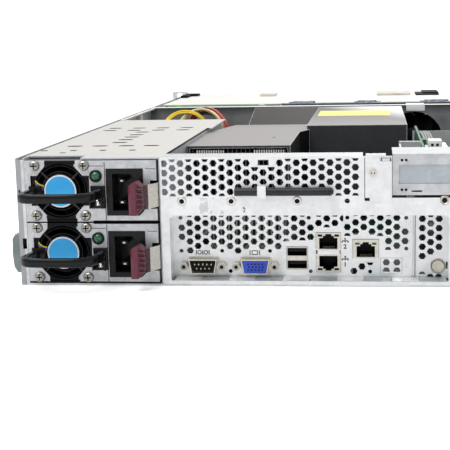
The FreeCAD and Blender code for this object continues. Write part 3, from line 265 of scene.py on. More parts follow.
def circuit_board():
    """Solder-masked board with traces and pads, with painted shade deep inside the unit."""
    green = (0.008, 0.085, 0.04)
    p = Paint("board")
    lines = p.most(*(p.remap(p.noise(scale, 0, stretch), 0.5, 0.53)
                     for scale, stretch in ((420, (0.1, 1, 1)), (430, (1, 0.1, 1)))))
    colour = p.mix(p.times(lines, 0.5), green, tuple(part * 2.1 for part in green))
    pads = p.remap(p.cells(330), 0.93, 0.94)
    colour = p.mix(p.times(pads, 0.8), colour, (0.4, 0.41, 0.36))
    # painted shade: the board darkens low in the unit
    colour = p.mix(p.along("z", 74, 80, 0.86, 0), colour, (0.003, 0.006, 0.005))
    p.set(Base_Color=colour, Roughness=0.42, Coat_Weight=0.1, Specular_IOR_Level=0.2)
    return p.bump(lines, 0.3, 0.08)


# ---- colours of single areas ----
def panel_marks(p, colour):
    """Torn label residue and a rust scratch on the beam above the ports; painted shade greys the flange on top."""
    # painted shade on upward faces, such as the flange on top
    colour = p.mix(p.times(p.facing("z"), 0.85), colour, (0.5, 0.505, 0.51))
    torn = p.remap(p.noise(190, 6, (1.2, 1, 0.5)), 0.47, 0.52)
    label = p.inside(x=(-112.5, -104), y=SKIN, z=(47.5, 57.2))
    colour = p.mix(p.times(torn, label), colour, (0.93, 0.94, 0.95))
    smear = p.remap(p.noise(240, 6, (1, 1, 0.45)), 0.54, 0.58)
    grime = p.inside(x=(-103.5, -85), y=SKIN, z=(47, 57.5))
    colour = p.mix(p.times(p.times(smear, grime), 0.5), colour, (0.5, 0.51, 0.52))
    flake = p.remap(p.noise(700, 4), 0.46, 0.52)
    rust = p.inside(x=(-75.5, -73.8), y=SKIN, z=(47.5, 51.5))
    return p.mix(p.times(rust, flake), colour, (0.21, 0.075, 0.025))


def tray_marks(p, colour):
    """Bright and blue-grey bands below the port plate; painted shade on the left wall's top, its rear lip grey."""
    # painted shade along the top of the left wall, where the cage roof meets it
    wall_top_shade = p.times(p.facing("z"), p.inside(z=(WALL_TOP - 1, WALL_TOP + 1), x=(-223.5, -220.5)))
    colour = p.mix(wall_top_shade, colour, (0.06, 0.062, 0.066))
    colour = p.mix(p.inside(x=(-225, -219.5), y=(FAR_OUT, 1.5)), colour, (0.4, 0.41, 0.425))
    wave = p.sine(p.times(p.axis("x"), pi / (BAND * MM)))
    bands = p.mix(p.math("GREATER_THAN", wave, 0), (0.8, 0.82, 0.84), (0.3, 0.35, 0.4))
    return p.mix(p.inside(y=(1, PLATE), z=(-1, 4), x=(-121, 52)), colour, bands)


def cage_light_and_shade(p, colour):
    """Painted light and shade: cream where the light falls on the roof, blue-grey on its sides, painted shade in its
    slots and on its rim.
    """
    left, top = CAGE[0].x, CAGE[1].z
    # painted shade inside the roof's slots
    slots = p.inside(x=(-220.5, -126.5), y=(20, 288), z=(top - 1.6, top - 0.03))
    colour = p.mix(slots, colour, (0.01, 0.01, 0.012))
    # painted light: cream on upward faces
    up = p.facing("z")
    colour = p.mix(up, colour, (0.57, 0.555, 0.525))
    # painted shade along the roof's left rim, by the wall
    return p.mix(p.times(p.inside(x=(left - 1, left + 2)), up), colour, (0.075, 0.08, 0.086))


def riser_top_shade(p, colour):
    """Painted shade on the riser's folded top, which catches the most light."""
    return p.mix(p.facing("z"), colour, (0.46, 0.47, 0.475))


def case_tone(p, colour):
    """The supplies get painted shade on top, in the joint between them and along the lower one's bottom edge; they
    are dark above and below their fans.
    """
    # painted shade on the tops, under the cage roof
    grain = p.mix(p.noise(500), (0.05, 0.052, 0.055), (0.075, 0.078, 0.082))
    colour = p.mix(p.times(p.past("y", 2), p.facing("z")), colour, grain)
    lower, upper = (extent(f"{body}_fan_frame") for body in SUPPLIES)
    # painted shade in the joint between the supplies and along the lower one's bottom edge
    dark = p.most(p.inside(x=(-173, -128), z=(40.6, 42.9)), p.inside(z=(0, 2.5)))
    between_screws = (lower[0].x + 9, lower[1].x - 8)
    for bottom, top in ((0, lower[0].z), (lower[1].z - 1, upper[0].z), (upper[1].z - 1, CAGE[1].z - 1)):
        gap = p.inside(x=between_screws, y=SKIN, z=(bottom, top + 1))
        dark = p.most(dark, gap)
    return p.mix(dark, colour, (0.008, 0.008, 0.009))


def baffle_paint():
    """Black duct with painted reflection on its tops: beige on the low rear top, darker on the ramp, greyer with a
    glare on the high part; painted shade on its sides and a painted highlight on its edges.
    """
    p = Paint("baffle")
    fine = p.noise(2400, 2)
    # mottle of the duct's tone and of its painted reflections
    dust = p.noise(60, 5)
    body = p.mix(dust, (0.036, 0.037, 0.042), (0.056, 0.057, 0.063))
    # painted shade on sides facing across
    side = p.mix(p.facing("x"), body, (0.006, 0.006, 0.007))
    # painted reflection: dim on the ramp, beige on the low rear top, grey with a glare on the high part
    ramp = p.mix(dust, (0.022, 0.02, 0.018), (0.036, 0.033, 0.03))
    low = p.mix(dust, (0.31, 0.265, 0.225), (0.38, 0.33, 0.285))
    high = p.mix(p.along("y", 240, 440), (0.3, 0.285, 0.28), (0.1, 0.095, 0.092))
    slant = 0.55
    glare = p.remap(p.plus(p.axis("x"), p.times(p.axis("y"), slant)),
                    REAR * slant + 185 * MM, REAR * slant + 232 * MM)
    high = p.mix(glare, high, (0.8, 0.79, 0.82))
    top = p.mix(p.short("z", DUCT_TOP - 4), high, low)
    top = p.mix(p.inside(x=(-200, -48.5), y=(323.5, 1000)), top, ramp)
    top = p.mix(p.facing("z", 0.97, 0.995), ramp, top)
    colour = p.mix(p.facing("z", 0.25, 0.55), side, top)
    # painted highlight along the edges
    colour = p.mix(p.times(p.edges(0.9), 0.95), colour, (0.88, 0.89, 0.9))
    specks = p.remap(p.noise(1600, 1), 0.7, 0.76)
    colour = p.mix(p.times(specks, 0.35), colour, (0.6, 0.58, 0.55))
    return p.finish(colour, fine, 0.42, 0.55, 0.25, 0.12, Specular_IOR_Level=0.12)


def fan_sheet():
    """Fan wall: grey-blue coated sheet, mottled, with painted shade below its top and painted light on its upward
    faces.
    """
    p = Paint("fan_sheet")
    fine = p.noise(1500, 3)
    wall = p.mix(p.remap(p.noise(38, 6), 0.3, 0.7), (0.15, 0.155, 0.16), (0.27, 0.275, 0.275))
    # painted shade towards the top of the wall, below its flange
    wall = p.mix(p.times(p.along("z", 74, 83), 0.85), wall, (0.03, 0.032, 0.036))
    # painted light on upward faces
    colour = p.mix(p.facing("z"), wall, (0.7, 0.7, 0.7))
    return p.finish(colour, fine, 0.5, 0.62, 0.2, 0.1, Metallic=0.35)


def braid():
    """Woven sleeve of a fan lead."""
    p = Paint("braid")
    warp, weft = (p.sine(p.times(p.math(way, p.axis("x"), p.axis("z")), 3600)) for way in ("ADD", "SUBTRACT"))
    weave = p.times(warp, weft)
    tone = p.mix(p.remap(p.noise(260), 0.4, 0.6), (0.1, 0.12, 0.28), (0.75, 0.77, 0.84))
    p.set(Base_Color=p.mix(p.remap(weave, -0.3, 0.5), (0.05, 0.06, 0.1), tone), Roughness=0.6)
    return p.bump(weave, 0.4, 0.2)


def tab_paint():
    """Burgundy tab with fine slanting ribs, painted shade in their grooves and a painted highlight with wear on its
    edges; spring steel where it is bent strip.
    """
    p = Paint("release_tab")
    fine = p.noise(1500, 2)
    slant = p.plus(p.axis("z"), p.times(p.axis("x"), 0.45))
    ribs = p.sine(p.times(slant, 2 * pi / (1.45 * MM)))
    field = p.past("x", -140.9)
    colour = p.mix(p.remap(fine, 0.3, 0.7), (0.1, 0.0065, 0.024), (0.135, 0.0115, 0.034))
    groove_shade = p.times(p.remap(ribs, -0.2, 0.6), field)
    # painted shade in the grooves between the ribs
    colour = p.mix(p.times(groove_shade, 0.75), colour, (0.06, 0.006, 0.016))
    colour = p.mix(p.along("x", -137.2, -135.6), colour, (0.05, 0.006, 0.015))
    # painted highlight and wear along the edges
    colour = p.mix(p.times(p.edges(0.4), 0.25), colour, (0.36, 0.1, 0.16))
    steel = p.mix(p.noise(500), (0.55, 0.52, 0.46), (0.82, 0.79, 0.73))
    strip = p.most(p.past("y", -7.2), p.past("x", -134.5))
    p.set(Base_Color=p.mix(strip, colour, steel), Roughness=p.remap(fine, 0.3, 0.7, 0.3, 0.42), Coat_Weight=0.2)
    return p.bump(p.times(ribs, field), 0.5, 0.3)


def port_shell():
    """Plated shells of the ports, painted black inside their mouths as shade."""
    p = Paint("port_shell")
    tone = p.mix(p.noise(300, 4), (0.5, 0.47, 0.4), (0.86, 0.83, 0.76))
    # painted shade: black deeper than the plate's face
    p.set(Base_Color=p.mix(p.past("y", PLATE - 0.2), tone, BLACK), Metallic=0.9, Roughness=0.3)
    return p.material


# ---- the paints ----
BAND = 17.5  # width of a band in the recess below the port plate
BLACK = (0.006, 0.006, 0.007)
GREY, COOL = (0.8, 0.81, 0.82), (0.5, 0.52, 0.545)
SHEETS = {  # name: pale tone, dark tone, what differs
    "galvanised": (GREY, COOL, {}),
    "rear_sheet": ((0.97, 0.98, 0.985), (0.76, 0.775, 0.79), dict(rough=0.46, extra=panel_marks)),
    "tray_sheet": (GREY, COOL, dict(extra=tray_marks)),
    "port_sheet": ((0.985, 0.99, 0.99), (0.82, 0.84, 0.85), dict(rough=0.46, scale=330)),
    "cage_sheet": ((0.56, 0.585, 0.63), (0.38, 0.4, 0.45), dict(metallic=0.45, rough=0.5, extra=cage_light_and_shade)),
    "top_sheet": ((0.8, 0.785, 0.75), (0.66, 0.65, 0.62), dict(metallic=0.3, rough=0.55)),
    "riser_sheet": ((0.7, 0.715, 0.73), (0.46, 0.475, 0.49), dict(extra=riser_top_shade)),
    "blank_sheet": ((0.55, 0.59, 0.62), (0.44, 0.48, 0.51), dict(rough=0.5)),
    "psu_sheet": ((0.7, 0.715, 0.73), (0.42, 0.435, 0.46), dict(scale=320, extra=case_tone)),
}
METALS = {  # name: colour, roughness, how metallic
    "nickel": ((0.72, 0.69, 0.62), 0.18, 1),
    "screw_nickel": ((0.5, 0.485, 0.44), 0.26, 1),
    "port_nickel": ((0.7, 0.66, 0.58), 0.24, 1),
    "dull_nickel": ((0.5, 0.47, 0.41), 0.34, 1),
    "gold": ((0.85, 0.74, 0.5), 0.25, 1),
    "spring_steel": ((0.62, 0.59, 0.53), 0.3, 1),
    # dark fins: painted shade deep in the unit
    "fins": ((0.1, 0.1, 0.105), 0.45, 0.4),
    # bright fin tips: painted light
    "fin_tips": ((0.86, 0.86, 0.85), 0.35, 0.5),
    "rear_fins": ((0.4, 0.41, 0.4), 0.4, 0.5),
}
PLASTICS = {  # name: colour, roughness, gleam, edges lighter by painted highlight and wear, how pale its dust is, grain, clear coat
    "black": (BLACK, 0.42, 0.15, 0.25),
    "dull_black": ((0.004, 0.004, 0.0045), 0.6, 0.1, 0.1, 0.2),
    "glossy_black": ((0.005, 0.005, 0.006), 0.22, 0.22, 0.3, 0.3),
    "handle": ((0.005, 0.005, 0.006), 0.16, 0.24, 0.2, 0.5, 2600),
    "key": ((0.022, 0.022, 0.026), 0.26, 0.3),
    "burgundy": ((0.125, 0.011, 0.034), 0.34, 0.5, 0.45, 0.5, 1500),
    "carrier": ((0.014, 0.014, 0.016), 0.36, 0.3),
    "grey_plastic": ((0.1, 0.12, 0.125), 0.42),
    "strut": ((0.014, 0.014, 0.016), 0.22, 0.3, 0.2),
    "bumper": ((0.17, 0.2, 0.2),),
    "white_plastic": ((0.8, 0.79, 0.74), 0.4),
    "beige": ((0.55, 0.51, 0.44),),
    "blue": ((0.02, 0.055, 0.42), 0.35),
    "sky_blue": ((0.034, 0.39, 0.8), 0.45, 0.5, 0.1, 0.12, 600),
    "label_white": ((0.8, 0.81, 0.82), 0.5, 0.5, 0, 0.05, 900),
    "label_yellow": ((0.86, 0.83, 0.16), 0.5, 0.5, 0, 0.08, 900),
    "ink": ((0.01, 0.01, 0.012), 0.6, 0.1, 0.1),
    "red_dot": ((0.4, 0.16, 0.17), 0.5),
    "wire_yellow": ((0.85, 0.6, 0.01), 0.4, 0.5, 0, 0.15, 900, 0.3),
    "wire_lime": ((0.62, 0.7, 0.02), 0.4, 0.5, 0, 0.15, 900, 0.3),
    "wire_cream": ((0.8, 0.72, 0.42), 0.4, 0.5, 0, 0.15, 900, 0.3),
    "wire_red": ((0.4, 0.02, 0.03), 0.4, 0.5, 0, 0.2, 900, 0.3),
    "wire_black": (BLACK, 0.35, 0.5, 0, 0.3, 900, 0.3),
    "wire_blue": ((0.05, 0.1, 0.5), 0.4, 0.5, 0, 0.2, 900),
    "wire_grey": ((0.36, 0.37, 0.38), 0.45, 0.5, 0, 0.2, 900),
    "board_edge": ((0.16, 0.42, 0.13), 0.5),
    "lens_green": ((0.004, 0.085, 0.025), 0.12, 0.5, 0.2, 0.8, 300, 1),
    "lens_clear": ((0.42, 0.41, 0.33), 0.16, 0.5, 0.9, 0.9, 500, 1),
    "led_green": ((0.01, 0.14, 0.05), 0.2, 0.5, 0, 0.9, 300, 0.6),
}
PAINT = {name: sheet_metal(name, pale, dark, **more) for name, (pale, dark, more) in SHEETS.items()}
PAINT |= {name: bright_metal(name, *row) for name, row in METALS.items()}
PAINT |= {name: plastic(name, *row) for name, row in PLASTICS.items()}
PAINT |= {"baffle": baffle_paint(), "fan_sheet": fan_sheet(), "braid": braid(), "board": circuit_board(),
          "release_tab": tab_paint(), "port_shell": port_shell()}
FINISH = {  # paint: the CAD nodes that wear it; {} stands for each supply
    "tray_sheet": "base_tray", "rear_sheet": "rear_panel riser_bracket", "port_sheet": "io_plate",
    "cage_sheet": "psu_cage", "riser_sheet": "riser_cage", "top_sheet": "drive_cage", "key": "stored_key",
    "fan_sheet": "fan_wall", "blank_sheet": "slot_blanks", "galvanised": "rack_ears", "bumper": "rail_bumper",
    "fins": "cpu_heatsinks", "baffle": "air_baffle", "grey_plastic": "fan_frames", "wire_yellow": "psu_cables",
    "nickel": "panel_screws {}_screws", "psu_sheet": "{}_case", "handle": "{}_handle", "release_tab": "{}_latch",
    "board": "motherboard power_board power_backplane riser_board drive_backplane dimm_modules",
    "carrier": "drive_blanks control_module drive_carrier_1 drive_carrier_2 drive_carrier_3 drive_carrier_4",
    "burgundy": "drive_lever_1 drive_lever_2 drive_lever_3 drive_lever_4", "glossy_black": "uid_switch {}_inlet",
    "lens_clear": "rear_uid_button power_button front_uid_button",
    "port_shell": "serial_port vga_port usb_ports lan_jacks",
    "black": "fan_rotor_1 fan_rotor_2 fan_rotor_3 fan_rotor_4 fan_rotor_5 {}_fan_frame {}_rotor",
}


def coat_nodes():
    """Give every CAD node its finish."""
    for paint, words in FINISH.items():
        for node in " ".join(words.replace("{}", body) for body in SUPPLIES).split():
            materials = frame["nodes"][node].data.materials
            materials.clear()
            materials.append(PAINT[paint])


# ---- mesh helpers ----
def new_object(name, data):
    piece = bpy.data.objects.new(name, data)
    bpy.context.scene.collection.objects.link(piece)
    return piece


def mount(name, data, paint, body="chassis", matrix=None):
    """Make a piece from its mesh, curve or text, and let it ride on its body."""
    piece = new_object(name, data)
    data.materials.append(PAINT[paint])
    if matrix:
        piece.matrix_world = matrix
    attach(piece, body)
    return piece


def finish_mesh(bm, name, paint, body="chassis", smooth=30):
    mesh = bpy.data.meshes.new(name)
    bm.normal_update()
    bm.to_mesh(mesh)
    bm.free()
    mesh.shade_smooth()
    mesh.set_sharp_from_angle(angle=radians(smooth))
    return mount(name, mesh, paint, body)


def mend_normals(bm):
    bmesh.ops.recalc_face_normals(bm, faces=bm.faces)


def add_box(bm, box, bevel):
    """Box with softened edges from the six numbers of its low and high corner."""
    low, high = spot(box[:3]), spot(box[3:])
    centre, size = (low + high) / 2, high - low
    made = bmesh.ops.create_cube(bm, size=1)
    for vert in made["verts"]:
        vert.co = centre + Vector([a * b for a, b in zip(vert.co, size)])
    edges = list({edge for vert in made["verts"] for edge in vert.link_edges})
    bmesh.ops.bevel(bm, geom=edges, offset=min(bevel * MM, min(size) * 0.3), segments=2, profile=0.6, affect="EDGES")


def add_rings(bm, rings, loop=False):
    """Skin over rings of points; a loop joins its last ring to the first, other rows get end faces."""
    rings = [[bm.verts.new(point) for point in ring] for ring in rings]
    for one, two in zip(rings, rings[1:] + rings[:1] if loop else rings[1:]):
        for i in range(len(one)):
            j = (i + 1) % len(one)
            bm.faces.new((one[i], one[j], two[j], two[i]))
    if not loop:
        bm.faces.new(list(reversed(rings[0])))
        bm.faces.new(rings[-1])


def add_lathe(bm, centre, axis, profile, sides=28):
    """Turned form: profile is (distance along the axis, radius)."""
    turn = Vector(UP).rotation_difference(Vector(axis)).to_matrix()
    add_rings(bm, [[spot(centre) + turn @ Vector((radius * cos(a), radius * sin(a), along)) * MM
                    for a in turns(sides)] for along, radius in profile])


def add_torus(bm, centre, radius, thick):
    """Ring of round section about the depth axis."""
    section = [(radius + thick * cos(lean), thick * sin(lean)) for lean in turns(8)]
    add_rings(bm, [[spot(centre + Vector((reach * cos(a), depth, reach * sin(a)))) for reach, depth in section]
                   for a in turns(48)], loop=True)


def add_sweep(bm, points, section):
    """Section of (across, up) points carried along a level path."""
    points = [spot(point) for point in points]
    rings = []
    for i, point in enumerate(points):
        along = (points[min(i + 1, len(points) - 1)] - points[max(i - 1, 0)]).normalized()
        across = Vector((along.y, -along.x, 0)).normalized()
        rings.append([point + (across * a + Vector(UP) * b) * MM for a, b in section])
    add_rings(bm, rings)


def add_prism(bm, outline, near, far):
    """Outline of (x, z) points between two depths."""
    add_rings(bm, [[spot((x, depth, z)) for x, z in outline] for depth in (near, far)])


def boxes(name, paint, items, bevel=0.2, body="chassis"):
    bm = bmesh.new()
    for box in items:
        add_box(bm, box, bevel)
    return finish_mesh(bm, name, paint, body)


def lathes(name, paint, places, profiles, sides=28, body="chassis", axis=BACK):
    """One piece of turned forms at these places, all of one profile or each of its own."""
    if isinstance(profiles[0], tuple):
        profiles = [profiles] * len(places)
    bm = bmesh.new()
    for place, profile in zip(places, profiles):
        add_lathe(bm, place, axis, profile, sides)
    return finish_mesh(bm, name, paint, body, smooth=35)


def prism(name, paint, outline, near, far):
    bm = bmesh.new()
    add_prism(bm, outline, near, far)
    mend_normals(bm)
    return finish_mesh(bm, name, paint)


def wire(name, paint, points, radius, body="chassis"):
    """Thin round wire along a smooth curve through given points."""
    data = bpy.data.curves.new(name, "CURVE")
    data.dimensions = "3D"
    data.bevel_depth = radius * MM
    data.bevel_resolution = 3
    data.resolution_u = 8
    spline = data.splines.new("NURBS")
    spline.points.add(len(points) - 1)
    for target, point in zip(spline.points, points):
        target.co = (*spot(point), 1)
    spline.use_endpoint_u = True
    spline.order_u = 3
    return mount(name, data, paint, body)


def disc(radius, depth, rim=0.2):
    """Profile of a flat disc with a softened rim, growing along its axis."""
    return [(0, radius), (depth - rim, radius), (depth, radius - rim)]


def row(first, step, count):
    return [first + step * i for i in range(count)]


# ---- fans ----
def rotors():
    for body in SUPPLIES:
        fan_blades(f"{body}_blades", f"{body}_rotor", f"{body}_rotor", 9, 5)
    for fan in range(1, 6):
        fan_blades(f"system_blades_{fan}", f"fan_{fan}_rotor", f"fan_rotor_{fan}", 12, 7)


def fan_blades(name, body, node, hub, count):
    """Wheel with swept, twisted blades on a domed hub, in place of a plain rotor."""
    low, high = extent(node)
    centre, tip, depth = middle(low, high, low.y), (high.x - low.x) / 2 - 0.2, high.y - low.y
    rows, columns, root, half_sheet = 7, 6, hub * 0.96, 0.35
    bm = bmesh.new()

    def point(start, i, j, side):
        """Corner of a blade, i steps out from the hub and j steps along the chord."""
        share, step = i / (rows - 1), j / (columns - 1) - 0.5
        radius = root + (tip - root) * share
        angle = start + 0.3 * share * share + step * (1.15 - 0.38 * share)
        along = depth * (0.5 + step * 0.82 + 0.08 * (4 * step * step - 1))
        return bm.verts.new(spot(centre + Vector((radius * cos(angle), along + side, radius * sin(angle)))))

    add_lathe(bm, centre, INWARD, [(0, hub * 0.93), (0.6, hub), (depth, hub)], 36)
    for start in turns(count):
        low, high = ([[point(start, i, j, side) for j in range(columns)] for i in range(rows)]
                     for side in (-half_sheet, half_sheet))
        for i in range(rows - 1):
            for j in range(columns - 1):
                for sheet in (low, high):
                    bm.faces.new((sheet[i][j], sheet[i + 1][j], sheet[i + 1][j + 1], sheet[i][j + 1]))
        rim = [(i, 0) for i in range(rows)] + [(rows - 1, j) for j in range(1, columns)]
        rim += [(i, columns - 1) for i in range(rows - 2, -1, -1)] + [(0, j) for j in range(columns - 2, 0, -1)]
        for (a, b), (c, d) in zip(rim, rim[1:] + rim[:1]):
            bm.faces.new((low[a][b], high[a][b], high[c][d], low[c][d]))
    mend_normals(bm)
    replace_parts(finish_mesh(bm, name, "black", body, 40), node)


def psu_fan(body):
    """Fan of a supply: venturi housing with a hub, guard, hub disc and four thin wires."""
    low, high = extent(f"{body}_fan_frame")
    centre = middle(low, high, 1)
    half = (high.x - low.x) / 2
    bore, throat = half - 0.8, half - 1.5

    def around(depth, radius):
        """Circle, or the square of the frame where no radius is given."""
        for a in turns(48, 0.5):
            reach = radius or half / max(abs(cos(a)), abs(sin(a)))
            yield spot((centre.x + reach * cos(a), depth, centre.z + reach * sin(a)))

    bm = bmesh.new()
    venturi = ((1, None), (1, bore), (4, throat), (high.y, throat), (high.y, None))
    add_rings(bm, [around(*ring) for ring in venturi], loop=True)
    mend_normals(bm)
    add_lathe(bm, centre, INWARD, [(-0.6, 10.6), (0, 11.3), (2.2, 11.5)], 40)
    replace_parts(finish_mesh(bm, f"{body}_fan_housing", "black", body, 35), f"{body}_fan_frame")
    fan_guard(body, centre, bore)
    face = centre + Vector((0, -0.6, 0))
    lathes(f"{body}_hub_ring", "label_white", [face], disc(10.6, 0.14, 0.05), 48, body)
    lathes(f"{body}_hub_disc", "sky_blue", [face], disc(9.7, 0.22, 0.05), 48, body)
    bends = ((0, 0, 0), (-1.6, -0.5, 0.3), (-3.6, -0.6, 1.4), (-5.6, -0.2, 3.2), (-6.6, 2, 5))
    for i, paint in enumerate(("wire_lime", "wire_blue", "wire_red", "wire_black")):
        start = centre + Vector((-10.9, 0.2, 3.4 - i))
        wire(f"{body}_fan_wire_{i + 1}", paint, [start + Vector(bend) for bend in bends], 0.46, body)


def fan_guard(body, centre, bore):
    """Thin straight struts and two fine rings in front of the blades."""
    bm = bmesh.new()
    for turn in turns(4, 0.5):
        c, s = cos(turn), sin(turn)
        outline = [(centre.x + c * reach - s * side, centre.z + s * reach + c * side)
                   for reach, side in ((10.8, 0.7), (10.8, -0.7), (bore, -0.4), (bore, 0.4))]
        add_prism(bm, outline, centre.y + 0.1, centre.y + 1.9)
    for radius, thick in ((12.5, 0.3), (16.4, 0.2)):
        add_torus(bm, centre + Vector((0, 0.9, 0)), radius, thick)
    mend_normals(bm)
    finish_mesh(bm, f"{body}_fan_guard", "strut", body, 35)


# ---- power supplies ----
def psu_face(body):
    """Lamp, boss, fold lines drawn as painted shade, and inlet blades of one supply."""
    low, high = extent(f"{body}_case")
    left, right, floor = low.x, high.x, low.z
    lamp = (left + 47, 0, floor + 29.6)
    bezel, dome = [(0, 4.1), (0.9, 4.1), (1.3, 3.6), (1, 3)], [(0.6, 3), (1.4, 2.8), (2.2, 2), (2.6, 0.8)]
    lathes(f"{body}_lamp_bezel", "glossy_black", [lamp], bezel, 32, body)
    lathes(f"{body}_lamp_lens", "lens_green", [lamp], dome, 32, body)
    boss = (left + 48.2, -1.4, floor + 12.6)
    lathes(f"{body}_boss", "nickel", [boss], [(0, 2.1), (0.8, 2), (1.4, 1.2), (1, 0.7)], 24, body)
    # painted shade: thin dark lines along the face's folds and steps
    seams = [(right - 7, -0.06, floor + 34, right - 0.4, 0.2, floor + 34.35),
             (left + 52.6, -0.06, floor + 0.6, left + 53.1, 0.2, floor + 38.6),
             (left + 41.6, -0.06, floor + 35.9, left + 52, 0.2, floor + 36.3)]
    boxes(f"{body}_face_seams", "ink", seams, 0.05, body)
    x, z = left + 65.7, floor + 19.1
    blades = [(x + dx - 0.9, 3, z + dz - 0.55, x + dx + 0.9, 6, z + dz + 0.55)
              for dx, dz in ((-2.6, 7), (2.6, 0), (-2.6, -7))]
    boxes(f"{body}_inlet_blades", "nickel", blades, 0.15, body)


def psu_handle(body):
    """Glossy pull loop of rounded section with its black plates behind both arms."""
    low, high = extent(f"{body}_handle")
    x0, x1, y0, z = low.x + 1, high.x - 0.6, low.y, low.z + 5
    path = [(x0 + 2.4, 0)]
    path += [(x0 + x, y0 + y) for x, y in ((0.8, 15), (0.2, 9.5), (1.4, 6), (4.2, 3.6), (8, 2.75), (14, 2.6))]
    path += [(x1 - x, y0 + y) for x, y in ((18, 2.6), (13.5, 3), (9.5, 4.6), (6.2, 7.6), (4, 11.5), (3, 16))]
    path.append((x1 - 2.8, 0))

    def rounded(half, share):
        return half * copysign(abs(share) ** 0.55, share)

    bm = bmesh.new()
    add_sweep(bm, [(x, y, z) for x, y in path],
              [(rounded(2.5, cos(turn)), rounded(3, sin(turn))) for turn in turns(16)])
    plate = high.x - 9.6
    for x, width, down in ((low.x + 0.2, 8.6, 4.6), (plate, 9.4, 10.4)):
        add_box(bm, (x, -1.6, z - down, x + width, 0, z + 4.4), 0.5)
    for x in (plate + 0.3, plate + 8.2):
        add_box(bm, (x, -7, z - 9.6, x + 0.9, -1.2, z - 1.8), 0.3)
    mend_normals(bm)
    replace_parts(finish_mesh(bm, f"{body}_pull_loop", "handle", body, 40), f"{body}_handle")


def psu_screws(body):
    """Pan heads with a crossed recess, with painted shade round each head and in the recess."""
    low, high = extent(f"{body}_screws")
    radius, wide, narrow = 3.4, 2.1, 0.42
    places = [(x, 0, z) for x in (low.x + radius, high.x - radius) for z in (low.z + radius, high.z - radius)]
    head = [(0, 3.35), (1, 3.35), (1.7, 2.9), (2.15, 2), (2.25, 1)]
    slots = [(x - w, -2.32, z - h, x + w, -1.6, z + h)
             for x, _, z in places for w, h in ((wide, narrow), (narrow, wide))]
    heads = lathes(f"{body}_screw_heads", "screw_nickel", places, head, body=body)
    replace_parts(heads, f"{body}_screws")
    # painted shade round each head
    rim = [(0, radius), (0.45, radius), (0.5, 3.36)]
    lathes(f"{body}_screw_rims", "ink", places, rim, body=body)
    # painted shade in the crossed recess
    boxes(f"{body}_screw_slots", "ink", slots, 0.05, body)


# ---- ports ----
def numerals():
    for text, height in (("2", 22.7), ("1", 10.9)):
        data = bpy.data.curves.new(f"numeral_{text}", "FONT")
        data.body = text
        data.size = 4 * MM
        data.offset = 0.1 * MM
        data.extrude = 0.06 * MM
        data.align_x = data.align_y = "CENTER"
        matrix = Matrix.Translation(spot((-11.3, PLATE - 0.08, height))) @ Matrix.Rotation(radians(90), 4, "X")
        mount(f"port_numeral_{text}", data, "ink", matrix=matrix)


def d_outline(x, z, width, height, slope=1.3, radius=1.3):
    """Outline of a D connector with rounded corners."""
    right, top = width / 2, height / 2
    corners = [Vector(c) for c in ((slope - right, -top), (right - slope, -top), (right, top), (-right, top))]
    outline = []
    for i, corner in enumerate(corners):
        beside = (corners[i - 1], corners[(i + 1) % 4])
        start, end = (corner + (near - corner).normalized() * radius for near in beside)
        for share in (0, 0.25, 0.5, 0.75, 1):
            point = start.lerp(corner, share).lerp(corner.lerp(end, share), share)
            outline.append((x + point.x, z + point.y))
    return outline


def d_ports():
    """Inserts, contacts and hex nuts of the serial and video ports."""
    z, nut_spread = 10.2, 12.5
    pins, sockets = ((5, 1.4, 0), (4, -1.4, 0)), ((5, 1.9, 0), (5, 0, 0.55), (5, -1.9, 0))
    nut = [(0, 2.6), (0.3, 2.3), (0.3, 1.25), (-3, 1.2)]
    bore = [(-0.4, 1.25), (0.31, 1.25), (0.34, 1.15)]
    # name, node, paint of the insert, its depth, paint of the contacts, their depth, profile, pitch, rows
    for name, node, paint, deep, metal, foot, profile, pitch, lines in (
            ("serial", "serial_port", "black", 4, "gold", 4, disc(0.5, 3.4), 2.75, pins),
            ("video", "vga_port", "blue", 0.25, "ink", 0.27, disc(0.55, 0.08, 0.02), 2.3, sockets)):
        low, high = extent(node)
        x, front = (low.x + high.x) / 2, low.y
        prism(f"{name}_flange", "port_nickel", d_outline(x, z, 21, 11.4), PLATE - 0.7, PLATE - 0.05)
        prism(f"{name}_insert", paint, d_outline(x, z, 16.9, 7.9), front + deep, front + 5)
        contacts = [(x + (i - (count - 1) / 2) * pitch + shift, front + foot, z + height)
                    for count, height, shift in lines for i in range(count)]
        lathes(f"{name}_contacts", metal, contacts, profile, 10)
        nuts = [(x + side * nut_spread, front + 0.2, z) for side in (-1, 1)]
        lathes(f"{name}_nut_faces", "dull_nickel", nuts, nut, 24)
        # painted shade in the nuts' bores
        lathes(f"{name}_nut_bores", "ink", nuts, bore, 20)


